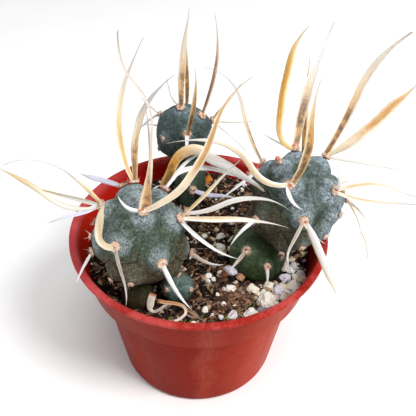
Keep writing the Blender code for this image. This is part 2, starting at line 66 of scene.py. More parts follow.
# areoles with spines: segment, azimuth, elevation, [(length, width, kind, headings)]
CLUSTERS = {
    "left_spines_top_left": ("left_segment", 98, 59, [
        (51, 2.3, "tan", [(145, 60), (105, 70), (50, 60), (15, 60)]),
        (43, 2.7, "streak", [(105, 75), (35, 70), (-5, 35)])]),
    "left_spines_top_right": ("left_segment", 45, 45, [
        (47, 3.0, "amber", [(45, 50), (60, 55), (10, 25), (-35, -25), (-25, -15), (-25, -15), (-35, -25)]),
        (20, 2.0, "white", [(45, 35), (45, 30), (5, 10)]),
        (34, 2.1, "white", [(70, 40), (10, 10), (-20, -10), (-5, 0)])]),
    "left_spines_centre": ("left_segment", -64, 62, [
        (61, 4.2, "spike", [(25, 85), (20, 80), (50, 85), (-170, 55), (45, 75)]),
        (57, 2.8, "wheat", [(-5, 25), (25, 50), (45, 70), (15, 30)]),
        (11, 1.6, "white", [(-145, 15), (120, 45)])]),
    "left_spines_right": ("left_segment", -12, 32, [
        (32, 1.3, "tan", [(10, 45), (15, 50), (5, 45)]),
        (37, 2.7, "cream", [(-5, 5), (-5, 5), (-10, -15)]),
        (25, 1.6, "white", [(-35, -35), (-25, -25), (-5, -10)])]),
    "left_spines_shoulder": ("left_segment", 180, 48, [
        (37, 2.4, "frost", [(-165, -10), (160, 30), (170, 25)]),
        (26, 1.9, "frost", [(165, 5), (160, 0), (170, 5)]),
        (19, 2.1, "lilac", [(-150, -15), (-160, -5), (-160, -10)]),
        (18, 1.7, "tan", [(160, 45), (165, 45), (170, 35)])]),
    "left_spines_lower_left": ("left_segment", -112, 27, [
        (20, 2.6, "straw", [(-130, 10), (180, 40), (100, 65), (65, 65), (60, 60), (65, 50)]),
        (21, 1.5, "grey", [(-70, -40), (-55, -60), (-105, -60)])]),
    "left_spines_lower_right": ("left_segment", -61, 6, [
        (20, 2.0, "white", [(-60, -45), (-35, -50), (-15, -45)])]),
    "left_spines_left": ("left_segment", -160, -1, [
        (14, 1.2, "white", [(-140, -45), (-120, -50)])]),
    "left_spines_low_side": ("left_segment", -7, -16, [
        (14, 1.6, "grey", [(-20, -40), (-5, -25), (15, 0)])]),
    "left_spines_rear_left": ("left_segment", 118, 46, [
        (18, 2.2, "lilac", [(155, 0), (160, 0)])]),
    "left_spines_rear_right": ("left_segment", 18, 18, [
        (40, 2.6, "pale", [(-10, 10), (5, 30), (-10, 5), (-45, -20)])]),
    "left_spines_rear": ("left_segment", 85, 18, [
        (34, 2.4, "tan", [(85, 30), (95, 55), (110, 65)]),
        (17, 1.6, "white", [(80, -10), (75, -40)])]),
    "left_spines_rear_low": ("left_segment", 140, -12, [
        (15, 1.6, "white", [(140, -5), (145, -45)])]),
    "right_spines_top": ("right_segment", 117, 71, [
        (46, 2.6, "gold", [(-170, 20), (90, 70), (75, 70), (55, 70), (10, 45)]),
        (44, 3.6, "dark", [(80, 70), (55, 70), (35, 60)]),
        (13, 1.1, "pale", [(165, 10), (150, 20)])]),
    "right_spines_front": ("right_segment", -115, 48, [
        (40, 3.2, "band", [(-5, 65), (155, 85), (-5, 80)]),
        (47, 2.8, "cream", [(-155, 0), (135, 40), (180, 10), (-165, -10)]),
        (11, 2.0, "white", [(-100, -35), (-20, -15)])]),
    "right_spines_top_right": ("right_segment", 33, 57, [
        (50, 3.2, "umber", [(30, 60), (45, 65), (0, 35)]),
        (39, 3.4, "wheat", [(0, 30), (20, 45), (20, 45)]),
        (34, 1.2, "pale", [(5, -10), (10, -20)])]),
    "right_spines_right": ("right_segment", -41, 39, [
        (18, 1.8, "white", [(-75, 45), (150, 70), (140, 75)]),
        (29, 2.4, "cream", [(10, 20), (0, 10), (-20, -15), (-15, -5)]),
        (28, 2.4, "cream", [(-30, -10), (-15, 10), (-15, 5)])]),
    "right_spines_rear_right": ("right_segment", 0, 10, [
        (15, 0.9, "tan", [(-25, -40), (-70, -60)]),
        (13, 1.2, "grey", [(-10, -30), (-30, -50)])]),
    "right_spines_left": ("right_segment", 174, 34, [
        (17, 1.3, "white", [(-150, -25), (-160, -35)])]),
    "right_spines_left_top": ("right_segment", 151, 37, [
        (42, 1.6, "streak", [(145, 50), (115, 60), (180, 10)])]),
    "right_spines_lower_left": ("right_segment", -141, 1, [
        (14, 1.6, "white", [(-150, -15), (-125, -35)])]),
    "right_spines_lower": ("right_segment", -88, 15, [
        (27, 3.1, "husk", [(-60, -35), (-55, -40), (-75, -35)]),
        (19, 1.5, "grey", [(-120, -40), (-145, -60), (-30, -55)]),
        (12, 1.0, "tan", [(-50, -35), (-5, -30)])]),
    "right_spines_rear": ("right_segment", 80, 30, [
        (38, 2.6, "band", [(80, 40), (95, 65), (85, 70)]),
        (20, 1.8, "cream", [(75, 0), (65, -35)])]),
    "right_spines_rear_left": ("right_segment", 125, -5, [
        (16, 1.7, "white", [(130, -5), (125, -40)])]),
    "right_spines_rear_low": ("right_segment", 45, -8, [
        (22, 2.0, "cream", [(40, 10), (35, -25)])]),
    "back_spines_top": ("back_segment", -108, 74, [
        (39, 3.0, "umber", [(90, 70), (75, 70), (70, 65)]),
        (16, 1.1, "pale", [(160, 25), (110, 40), (120, 45)])]),
    "back_spines_top_right": ("back_segment", -29, 48, [
        (41, 1.9, "dusk", [(45, 60), (70, 65), (125, 65)])]),
    "back_spines_front": ("back_segment", -81, 21, [
        (31, 2.1, "band", [(-70, 60), (30, 80), (-170, 85)]),
        (9, 2.0, "white", [(-85, -20), (-95, -15)])]),
    "back_spines_left": ("back_segment", 170, 35, [
        (12, 1.2, "pale", [(145, 20), (140, 25)]),
        (17, 1.2, "lilac", [(175, -30), (-165, -60)])]),
    "back_spines_right": ("back_segment", 9, 23, [
        (22, 1.9, "streak", [(35, 35), (45, 40)]),
        (23, 1.0, "pale", [(5, -10), (20, 0)]),
        (24, 0.9, "pale", [(-40, -15), (-45, -20)])]),
    "back_spines_rear": ("back_segment", 85, 28, [
        (32, 2.4, "band", [(85, 45), (100, 65), (90, 60)]),
        (14, 1.6, "white", [(90, -10), (85, -40)])]),
    "back_spines_rear_left": ("back_segment", 140, -5, [
        (13, 1.4, "white", [(140, 0), (145, -35)])]),
    "back_base_spines": ("back_base_segment", -79, -3, [
        (21, 2.6, "lilac", [(-20, -15), (-5, 5), (-20, -15)]),
        (15, 1.2, "white", [(-100, 45), (-165, 80)])]),
    "right_base_spines_left": ("right_base_segment", -124, 44, [
        (11, 1.8, "grey", [(-130, -15), (-135, -30)])]),
    "right_base_spines_front": ("right_base_segment", -76, 21, [
        (7, 1.6, "white", [(-85, -35), (-90, -60)])]),
}

FORMS = {("left_spines_centre", 0): "spike", ("right_spines_lower", 0): "broad", ("right_spines_top_right", 1): "broad",
         ("left_spines_shoulder", 0): "broad", ("right_spines_top", 0): "late", ("left_spines_lower_left", 0): "elbow",
         ("left_spines_top_right", 0): "elbow", ("left_spines_rear_left", 0): "broad", ("right_spines_top_right", 0): "elbow"}

# blades seen nearly edge on, or folded along the middle, look narrower than they are cut
FOLD = {("left_spines_rear_right", 0): 0.75, ("right_spines_front", 1): 0.82, ("left_spines_centre", 1): 0.92,
        ("right_spines_right", 1): 0.8, ("right_spines_right", 2): 0.8, ("right_spines_top", 0): 0.95,
        ("left_spines_right", 1): 0.85, ("right_spines_rear", 0): 0.8, ("right_spines_top_right", 0): 0.82,
        ("right_spines_top_right", 1): 1.3, ("left_spines_shoulder", 0): 0.85, ("left_spines_top_right", 2): 0.95,
        ("left_spines_top_right", 0): 1.28}

# how a blade turns about its own length, in degrees from root to tip, where it isn't the usual slight twist
ROLLS = {
    ("left_spines_top_left", 0): [35, 10, 5, 25],
    ("left_spines_top_left", 1): [0, 10, 62, 20, 10, 0],
    ("left_spines_top_right", 0): [0, -15, 20, 40],
    ("left_spines_centre", 1): [25, 5, 0, 10, 30],
    ("left_spines_shoulder", 0): [40, 25, 10, 30],
    ("left_spines_lower_left", 0): [0, 40, 0, 5],
    ("right_spines_top", 0): [45, 15, 0, 5],
    ("right_spines_top_right", 0): [10, 0, 20, 45],
    ("right_spines_top_right", 1): [20, 0, -10, 30],
    ("right_spines_front", 0): [0, 0, 10, 50],
    ("right_spines_front", 1): [0, -10, 10, 30],
}

# a hair that carries a blade's tip on: (cluster, spine): (length, width, kind, headings)
THREADS = {
    ("left_spines_shoulder", 3): (21, 0.5, "pale", [(165, 25), (175, 0), (-170, -25)]),
    ("right_spines_rear_right", 0): (11, 0.5, "tan", [(-40, -45), (-55, -60), (-60, -75)]),
}

TUFTS = {
    "left_segment": [(-169, 12), (-136, -28), (-100, -19), (-30, -35), (40, -22), (95, -25),
                     (165, 12), (55, 10), (130, 8), (-70, 88)],
    "right_segment": [(158, 20), (-54, -9), (-104, -38), (-81, -21), (-20, 30), (-35, 10),
                      (-165, -20), (85, -15), (-170, 62), (20, 20), (15, -25)],
    "back_segment": [(-130, 7), (-161, -27), (-80, -22), (-35, 0), (35, -12), (90, -15)],
    "back_base_segment": [(-118, 30), (-30, 35), (60, 25), (150, 20)],
    "right_base_segment": [(-172, 18), (-40, 25), (60, 20), (140, 25)],
    "left_offset": [(-34, 22), (-130, 30), (80, 30)],
    "left_stem": [(-60, 10), (120, 10)],
}
BUDS = {("right_segment", 158), ("right_segment", -170), ("back_segment", -35)}

PUMICE = [
    (26.0, -27.0, 3.7, 3.6, 3.2, 10), (20.2, -32.6, 3.3, 2.5, 2.5, 25),
    (20.8, -21.4, 2.3, 2.2, 2.2, 60), (12.6, -21.2, 3.1, 1.9, 1.9, -10),
    (34.6, -16.4, 2.9, 1.9, 2.0, 20), (32.8, -24.6, 2.2, 2.0, 2.1, 70),
    (40.2, -14.0, 2.0, 2.1, 1.9, 35), (27.4, -19.8, 2.5, 2.0, 2.4, 0),
    (13.1, -34.0, 2.2, 1.8, 1.7, 50), (8.7, 5.4, 2.0, 2.1, 1.8, 0),
]
BARK = (3.0, 40.3, 3.4, 2.2, 1.6, 75)
FALLEN = {
    "fallen_spine": ([(-14.2, -31.4, 61.9), (-12.0, -31.8, 61.8), (-9.8, -32.0, 61.8), (-7.5, -32.1, 61.5),
                      (-5.7, -32.3, 61.0), (-4.4, -32.7, 60.1), (-3.9, -33.5, 59.1), (-4.4, -35.0, 58.6),
                      (-6.2, -36.8, 58.5), (-8.2, -37.6, 58.2), (-10.2, -37.6, 58.0)], 1.3, "strip"),
    "dry_sheath": ([(-16.0, -29.4, 63.6), (-16.6, -30.6, 62.3), (-17.0, -31.9, 60.6), (-16.9, -33.0, 59.2),
                    (-15.8, -33.7, 58.6), (-14.1, -34.0, 59.6), (-12.0, -34.0, 61.4), (-10.0, -33.8, 63.0)],
                   2.8, "sheath"),
}

# stones too small for solids of their own: x, y, radius, tone
CREAM, WHITE, LAVENDER, SAND, RUST = (250, 242, 228), (255, 252, 248), (230, 225, 240), (234, 216, 190), (190, 140, 102)
PEBBLES = [
    (21.8, -22.2, 1.5, CREAM), (24.6, -31.2, 1.9, (128, 120, 136)), (31.5, -22.3, 1.9, LAVENDER),
    (37.0, -19.9, 2.2, CREAM), (37.8, -22.5, 1.7, LAVENDER), (40.3, -16.5, 1.6, SAND),
    (34.6, -11.1, 1.8, CREAM), (36.4, -12.0, 1.6, WHITE), (37.9, -9.9, 1.6, (222, 218, 216)),
    (37.5, -6.8, 1.2, SAND), (42.1, -4.0, 1.2, (228, 212, 160)), (33.0, -20.5, 1.5, SAND),
    (31.1, -19.9, 1.0, SAND), (19.4, -13.6, 0.9, SAND), (12.8, -14.4, 2.0, LAVENDER),
    (16.6, -16.5, 1.6, RUST), (4.4, -15.9, 1.1, WHITE), (6.2, -17.6, 1.0, WHITE), (4.1, -18.5, 0.8, WHITE),
    (8.7, -1.7, 1.8, WHITE), (9.5, -4.6, 1.6, SAND), (3.2, -31.6, 1.1, CREAM), (17.0, -37.2, 1.3, SAND),
    (29.6, -31.4, 1.3, WHITE), (7.5, -25.0, 1.0, CREAM), (10.0, -28.6, 0.9, WHITE), (-1.0, -37.5, 1.0, CREAM),
    (6.8, -38.6, 1.2, LAVENDER), (35.0, -7.6, 1.3, CREAM), (39.9, -11.6, 1.1, WHITE),
]


# ---------------------------------------------------------------- camera
def make_camera():
    e, roll = math.radians(39.96), math.radians(1.33)
    aim = Vector((3.4, 0.0, 80.5))
    back = Vector((0, -math.cos(e), math.sin(e)))
    up = Vector((0, math.sin(e), math.cos(e)))
    right = Vector((1, 0, 0))
    r2 = right * math.cos(roll) + up * math.sin(roll)
    u2 = up * math.cos(roll) - right * math.sin(roll)
    cam = bpy.data.objects.new("camera", bpy.data.cameras.new("camera"))
    scene.collection.objects.link(cam)
    m = Matrix((r2, u2, back)).transposed().to_4x4()
    m.translation = (aim + back * 213.7) * MM
    cam.matrix_world = m
    cam.data.sensor_width = 36.0
    cam.data.lens = 47.6
    cam.data.clip_start, cam.data.clip_end = 0.01, 20.0
    scene.camera = cam


# ---------------------------------------------------------------- node helpers
def srgb(r, g, b, a=1.0):
    def lin(c):
        c /= 255.0
        return c / 12.92 if c <= 0.04045 else ((c + 0.055) / 1.055) ** 2.4
    return (lin(r), lin(g), lin(b), a)


class Shader:
    def __init__(self, name):
        self.mat = bpy.data.materials.new(name)
        self.mat.use_nodes = True
        self.nt = self.mat.node_tree
        self.p = self.nt.nodes["Principled BSDF"]
        self.coord = self.node("ShaderNodeTexCoord").outputs["Object"]

    def node(self, kind, ins=None, **props):
        n = self.nt.nodes.new(kind)
        for k, v in props.items():
            setattr(n, k, v)
        for k, v in (ins or {}).items():
            self.put(n.inputs[k], v)
        return n

    def put(self, sock, v):
        if isinstance(v, bpy.types.NodeSocket):
            self.nt.links.new(v, sock)
        else:
            sock.default_value = v

    def attr(self, name):
        return self.node("ShaderNodeAttribute", attribute_name=name)

    def noise(self, scale, detail=4.0, rough=0.6, vector=None, distortion=0.0):
        """scale is in features per mm when it reads object coordinates."""
        s = scale if vector is not None else scale * 1000.0
        n = self.node("ShaderNodeTexNoise", {"Vector": vector or self.coord, "Scale": s, "Detail": detail,
                                             "Roughness": rough, "Distortion": distortion})
        return n.outputs["Fac"]

    def voronoi(self, scale, feature="F1", vector=None, rand=1.0):
        s = scale if vector is not None else scale * 1000.0
        n = self.node("ShaderNodeTexVoronoi", {"Vector": vector or self.coord, "Scale": s, "Randomness": rand},
                      feature=feature)
        return n.outputs["Distance"]

    def stretch(self, vector, scale):
        return self.node("ShaderNodeMapping", {"Vector": vector, "Scale": scale}).outputs[0]

    def math(self, op, a, b=0.0, c=None, clamp=False):
        n = self.node("ShaderNodeMath", operation=op, use_clamp=clamp)
        self.put(n.inputs[0], a)
        if op not in ("SINE", "ABSOLUTE", "FRACT", "SQRT"):
            self.put(n.inputs[1], b)
        if c is not None:
            self.put(n.inputs[2], c)
        return n.outputs[0]

    def mul(self, a, b):
        return self.math("MULTIPLY", a, b)

    def add(self, a, b):
        return self.math("ADD", a, b)

    def around(self, v, amount):
        """A texture value spread to +-amount / 2 about zero."""
        return self.math("MULTIPLY", self.math("SUBTRACT", v, 0.5), amount)

    def ramp01(self, v, lo, hi):
        """Smooth 0 to 1 as v goes from lo to hi (or down, where lo > hi)."""
        n = self.node("ShaderNodeMapRange", {"Value": v, "From Min": lo, "From Max": hi, "To Min": 0.0, "To Max": 1.0},
                      interpolation_type="SMOOTHSTEP")
        return n.outputs["Result"]

    def mix(self, f, a, b, blend="MIX"):
        n = self.node("ShaderNodeMix", data_type="RGBA", blend_type=blend)
        self.put(n.inputs[0], f)
        self.put(n.inputs[6], a)
        self.put(n.inputs[7], b)
        return n.outputs[2]

    def vec(self, x, y, z):
        n = self.node("ShaderNodeCombineXYZ")
        for i, v in enumerate((x, y, z)):
            self.put(n.inputs[i], v)
        return n.outputs[0]

    def bump(self, height, strength, distance, below=None):
        n = self.node("ShaderNodeBump", {"Height": height, "Strength": strength, "Distance": distance})
        if below is not None:
            self.nt.links.new(below, n.inputs["Normal"])
        return n.outputs["Normal"]

    def set(self, **ins):
        names = {"color": "Base Color", "rough": "Roughness", "normal": "Normal", "sss": "Subsurface Weight",
                 "sss_radius": "Subsurface Radius", "sss_scale": "Subsurface Scale", "spec": "Specular IOR Level",
                 "sheen": "Sheen Weight", "sheen_rough": "Sheen Roughness", "sheen_tint": "Sheen Tint",
                 "coat": "Coat Weight", "coat_rough": "Coat Roughness"}
        for k, v in ins.items():
            self.put(self.p.inputs[names[k]], v)
        return self.mat


# ---------------------------------------------------------------- materials
def pot_material():
    s = Shader("pot_plastic")
    side = s.attr("side").outputs["Fac"]        # 0 outside, 0.5 lip, 1 inside
    wrap = s.attr("wrap").outputs["Vector"]     # round the wall and along its profile, in mm
    cloud = s.noise(0.03, 3, 0.5)
    fine = s.noise(0.9, 5, 0.65)
    streak = s.noise(1.0, 6, 0.7, vector=s.stretch(s.coord, (900.0, 900.0, 30.0)))
    broad = s.noise(1.0, 3, 0.5, vector=s.stretch(s.coord, (110.0, 110.0, 6.0)))
    outer = s.mix(s.ramp01(cloud, 0.35, 0.7), srgb(125, 20, 1), srgb(136, 27, 2))
    # painted light: lighter orange on the right side, where the key light falls, and a painted highlight as one pale
    # upright band beside the middle
    xyz = s.node("ShaderNodeSeparateXYZ", {0: s.coord}).outputs
    turn = s.mul(s.add(s.math("ARCTAN2", xyz[0], s.mul(xyz[1], -1.0)), math.pi), 45.0)     # mm round the wall from the back
    turn = s.add(turn, s.around(s.noise(0.05, 3, 0.6), 14.0))
    outer = s.mix(s.mul(s.mul(s.ramp01(turn, 146.0, 178.0), s.ramp01(turn, 262.0, 215.0)), 0.85), outer, srgb(171, 50, 17))
    # painted highlight: the pale streaky upright band
    band = s.mul(s.ramp01(turn, 139.0, 146.0), s.ramp01(turn, 154.0, 147.0))
    outer = s.mix(s.mul(band, s.add(0.15, s.mul(s.ramp01(streak, 0.35, 0.6), 0.35))), outer, srgb(162, 78, 62))
    outer = s.mix(s.mul(s.ramp01(broad, 0.5, 0.68), 0.25), outer, srgb(158, 48, 20))
    outer = s.mix(s.mul(s.ramp01(streak, 0.54, 0.74), 0.22), outer, srgb(162, 58, 28))
    outer = s.mix(s.mul(s.ramp01(fine, 0.55, 0.75), 0.2), outer, srgb(96, 22, 8))
    scuff = s.noise(1.0, 7, 0.75, vector=s.stretch(s.coord, (350.0, 350.0, 1500.0)), distortion=1.2)
    outer = s.mix(s.mul(s.ramp01(scuff, 0.66, 0.72), 0.35), outer, srgb(182, 84, 52))
    # painted glow: the collar made lighter orange high up on the right, as light shining through the thin plastic would
    # look
    high = s.node("ShaderNodeSeparateXYZ", {0: wrap}).outputs[1]
    thin = s.mul(s.ramp01(high, 80.0, 88.0), s.mul(s.ramp01(turn, 176.0, 196.0), s.ramp01(turn, 250.0, 225.0)))
    outer = s.mix(s.mul(thin, 0.5), outer, srgb(150, 58, 22))
    lip = s.mix(s.ramp01(fine, 0.4, 0.7), srgb(148, 34, 26), srgb(160, 46, 38))
    # painted sheen: pink patches and streaks over the lip
    lip_sheen_noise = s.noise(0.07, 5, 0.7)
    lip = s.mix(s.mul(s.ramp01(lip_sheen_noise, 0.46, 0.60), 0.55), lip, srgb(196, 86, 84))
    lip = s.mix(s.mul(s.ramp01(streak, 0.5, 0.7), 0.3), lip, srgb(204, 96, 90))
    # painted light on the left side: a pink sheen on the lip, and a brighter red on the inside wall, which faces the
    # key light
    painted_light_left = s.mul(s.ramp01(turn, 28.0, 62.0), s.ramp01(turn, 132.0, 92.0))
    lip = s.mix(s.mul(painted_light_left, 0.55), lip, srgb(198, 84, 88))
    inside = s.mix(s.ramp01(cloud, 0.3, 0.7), srgb(142, 14, 10), srgb(168, 24, 16))
    inside = s.mix(s.mul(painted_light_left, 0.7), inside, srgb(206, 42, 22))
    inside = s.mix(s.mul(s.ramp01(fine, 0.56, 0.7), 0.4), inside, srgb(196, 70, 60))
    col = s.mix(s.ramp01(side, 0.05, 0.45), outer, lip)
    col = s.mix(s.ramp01(side, 0.55, 0.95), col, inside)
    scratch = s.noise(1.0, 8, 0.75, vector=s.stretch(s.coord, (3200.0, 3200.0, 250.0)))
    rough = s.add(0.30, s.add(s.mul(s.ramp01(scratch, 0.45, 0.75), 0.2), s.mul(s.ramp01(broad, 0.4, 0.7), 0.12)))
    # soft lumps, fine scratches and scuffs in the surface
    nrm = s.bump(s.noise(0.16, 3, 0.5), 0.3, 0.0008)
    nrm = s.bump(scratch, 0.14, 0.0002, nrm)
    nrm = s.bump(scuff, 0.10, 0.0002, nrm)
    s.p.inputs["Specular Tint"].default_value = (1.0, 0.55, 0.35, 1.0)
    return s.set(color=col, rough=rough, normal=nrm, spec=0.03)


SKINS = {
    # top, its specks, middle, its specks, low, its specks, how high the brown reaches
    "left_segment": ((152, 168, 172), (206, 218, 222), (62, 80, 58), (120, 140, 118), (102, 92, 68), (156, 144, 116), 0.58),
    "right_segment": ((146, 164, 172), (208, 220, 226), (58, 76, 58), (114, 132, 116), (88, 80, 56), (138, 128, 100), 0.56),
    "back_segment": ((122, 142, 148), (162, 180, 184), (64, 84, 80), (100, 120, 114), (60, 68, 56), (98, 104, 90), 0.26),
    "left_offset": ((138, 164, 158), (190, 206, 200), (90, 118, 108), (130, 154, 142), (74, 92, 78), (112, 126, 106), 0.14),
    "right_base_segment": ((112, 138, 104), (146, 168, 134), (62, 88, 46), (90, 114, 72), (50, 66, 34), (84, 94, 58), 0.15),
    "back_base_segment": ((92, 116, 98), (146, 166, 148), (64, 86, 68), (104, 124, 102), (54, 66, 48), (90, 98, 74), 0.15),
    "left_stem": ((66, 62, 26), (116, 112, 56), (52, 46, 20), (88, 82, 38), (40, 30, 16), (72, 58, 32), 0.7),
}


def skin_material(name):
    top, top_s, mid, mid_s, low, low_s, brown = SKINS[name]
    s = Shader("cactus_skin_" + name)
    tub = s.attr("tub").outputs["Fac"]
    hgt = s.attr("height").outputs["Fac"]
    groove = s.attr("groove").outputs["Fac"]
    n1 = s.noise(0.26, 5, 0.62)
    n2 = s.noise(0.08, 3, 0.5)
    grain = s.noise(1.25, 3, 0.62, distortion=0.9)
    patch = s.noise(0.5, 4, 0.6, distortion=0.8)
    cell = s.voronoi(2.1)
    pore = s.noise(4.5, 3, 0.8)
    speck = s.noise(2.6, 5, 0.8, distortion=0.8)
    # pale and powdery on the tops and the tubercles, green between, brown and corky at the foot; the lighter tops and
    # tubercle crowns are partly painted light, the darker foot partly painted shade
    k = s.add(s.add(s.mul(hgt, 0.46), s.mul(tub, 0.76)), s.add(s.around(n1, 0.7), s.add(s.around(n2, 0.7), -0.06)))
    f_mid = s.ramp01(k, 0.22, 0.55)
    f_top = s.ramp01(k, 0.46, 1.04)
    col = s.mix(f_top, s.mix(f_mid, srgb(*low), srgb(*mid)), srgb(*top))
    pale = s.mix(f_top, s.mix(f_mid, srgb(*low_s), srgb(*mid_s)), srgb(*top_s))
    b = s.add(hgt, s.add(s.mul(tub, 0.18), s.around(n2, 0.55)))
    cork_and_shade = s.ramp01(b, brown + 0.10, brown - 0.16)
    col = s.mix(s.mul(cork_and_shade, 0.85), col, srgb(*low))
    pale = s.mix(s.mul(cork_and_shade, 0.85), pale, srgb(*low_s))
    dark = s.mix(f_top, srgb(*(0.42 * c for c in mid)), srgb(*(0.52 * c for c in top)))
    # fine papillae: pale crowns, dark seams between them, worm-like clumps of both
    col = s.mix(s.mul(s.ramp01(grain, 0.49, 0.38), 0.85), col, dark)
    col = s.mix(s.mul(s.ramp01(grain, 0.53, 0.63), s.add(0.45, s.mul(f_top, 0.3))), col, pale)
    col = s.mix(s.mul(s.ramp01(patch, 0.50, 0.38), 0.35), col, dark)
    col = s.mix(s.mul(s.ramp01(patch, 0.54, 0.66), 0.45), col, pale)
    col = s.mix(s.mul(s.ramp01(cell, 0.36, 0.60), 0.30), col, dark)
    crown = s.mul(s.ramp01(cell, 0.42, 0.16), s.ramp01(grain, 0.40, 0.58))
    col = s.mix(s.mul(crown, s.add(0.30, s.mul(f_top, 0.25))), col, pale)
    col = s.mix(s.mul(s.ramp01(speck, 0.56, 0.70), s.add(0.22, s.mul(f_top, 0.3))), col, pale)
    col = s.mix(s.mul(s.ramp01(speck, 0.50, 0.36), 0.62), col, dark)
    col = s.mix(s.mul(s.ramp01(pore, 0.50, 0.38), 0.45), col, dark)
    col = s.mix(s.mul(s.ramp01(pore, 0.55, 0.66), 0.35), col, pale)
    # upright corky fibres low down
    fib = s.noise(1.0, 5, 0.7, vector=s.stretch(s.coord, (1300.0, 1300.0, 170.0)))
    col = s.mix(s.mul(s.mul(s.ramp01(fib, 0.56, 0.66), s.ramp01(hgt, 0.62, 0.25)), 0.6), col, pale)
    col = s.mix(s.mul(s.mul(s.ramp01(fib, 0.42, 0.32), s.ramp01(hgt, 0.62, 0.25)), 0.5), col, srgb(44, 40, 28))
    # painted shade in the grooves where two tubercles meet, and thin dark cracks along them, stronger low down
    col = s.mix(s.mul(s.ramp01(groove, 0.05, 0.8), 0.45), col, s.mix(0.5, col, dark))
    seam = s.mul(s.ramp01(s.add(groove, s.around(s.noise(0.9, 3, 0.6), 0.6)), 0.62, 0.92),
                 s.mul(s.ramp01(hgt, 0.78, 0.48), s.ramp01(n1, 0.36, 0.46)))
    col = s.mix(s.mul(seam, 0.85), col, srgb(30, 32, 24))
    h = s.math("SUBTRACT", s.add(s.mul(grain, 1.2), s.mul(speck, 0.5)), s.add(s.mul(cell, 0.7), s.mul(seam, 1.5)))
    h = s.add(h, s.mul(s.mul(fib, s.ramp01(hgt, 0.62, 0.25)), 0.8))
    nrm = s.bump(s.add(h, s.mul(pore, 0.5)), 0.9, 0.00036)
    rough = s.add(0.52, s.mul(grain, 0.2))
    return s.set(color=col, rough=rough, normal=nrm, spec=0.3)


SPINE_KINDS = {
    # core, second, edge, tip, dark; band and streak strength, length of the dark root, reach of the colour
    "tan": ((218, 180, 112), (232, 214, 174), (242, 236, 222), (200, 196, 192), (140, 104, 72), 0.12, 0.7, 0.0, 0.55),
    "wheat": ((196, 144, 74), (226, 204, 170), (242, 236, 222), (206, 186, 156), (146, 104, 66), 0.2, 0.75, 0.0, 1.0),
    "streak": ((196, 144, 80), (220, 190, 146), (240, 228, 206), (204, 200, 198), (88, 66, 54), 0.8, 1.1, 0.12, 0.45),
    "amber": ((180, 118, 22), (202, 150, 58), (220, 190, 132), (240, 238, 232), (44, 32, 24), 1.3, 0.3, 0.16, 0.34),
    "band": ((188, 136, 66), (216, 178, 120), (236, 216, 180), (222, 208, 186), (72, 56, 46), 1.0, 0.5, 0.0, 0.70),
    "spike": ((190, 142, 88), (210, 174, 128), (230, 210, 182), (226, 216, 206), (108, 78, 72), 0.9, 0.6, 0.0, 0.28),
    "gold": ((200, 144, 52), (216, 176, 106), (240, 224, 186), (226, 206, 172), (150, 104, 60), 0.20, 0.45, 0.0, 0.9),
    "dark": ((200, 152, 92), (220, 192, 150), (238, 230, 218), (236, 237, 240), (88, 72, 76), 1.0, 0.6, 0.0, 0.50),
    "umber": ((190, 138, 80), (216, 182, 136), (238, 222, 196), (222, 212, 196), (76, 56, 54), 1.0, 0.6, 0.08, 0.46),
    "dusk": ((156, 112, 80), (182, 146, 118), (220, 202, 182), (208, 198, 188), (80, 60, 62), 1.0, 0.8, 0.50, 0.70),
    "cream": ((214, 184, 138), (230, 216, 194), (242, 240, 236), (212, 208, 204), (140, 106, 78), 0.12, 0.8, 0.0, 0.6),
    "white": ((222, 218, 212), (236, 236, 236), (240, 244, 248), (212, 208, 204), (170, 150, 132), 0.05, 0.35, 0.0, 0.8),
    "pale": ((212, 204, 190), (224, 220, 212), (226, 226, 226), (204, 202, 200), (150, 134, 120), 0.08, 0.25, 0.0, 0.6),
    "lilac": ((196, 194, 216), (214, 214, 228), (208, 210, 222), (186, 182, 190), (140, 134, 150), 0.05, 0.35, 0.0, 0.7),
    "grey": ((166, 152, 134), (196, 184, 168), (206, 200, 194), (220, 218, 218), (112, 96, 82), 0.15, 0.5, 0.0, 0.6),
    "frost": ((214, 220, 214), (222, 222, 212), (200, 182, 138), (208, 184, 138), (150, 128, 92), 0.05, 0.6, 0.0, 0.55),
    "straw": ((196, 176, 138), (212, 198, 168), (228, 220, 202), (196, 180, 152), (146, 122, 92), 0.1, 0.9, 0.0, 0.9),
    "husk": ((208, 208, 212), (236, 234, 232), (206, 176, 138), (236, 228, 210), (166, 148, 130), 0.05, 0.9, 0.0, 0.6),
    "curl": ((198, 134, 84), (214, 164, 116), (222, 190, 152), (230, 222, 210), (128, 84, 56), 0.15, 0.5, 0.0, 0.5),
    "sheath": ((226, 214, 194), (238, 230, 216), (246, 242, 236), (240, 236, 228), (150, 124, 96), 0.25, 0.6, 0.0, 0.9),
}


RISE = {"wheat": 0.40, "gold": 0.26, "cream": 0.12}      # how far up a blade its colour starts


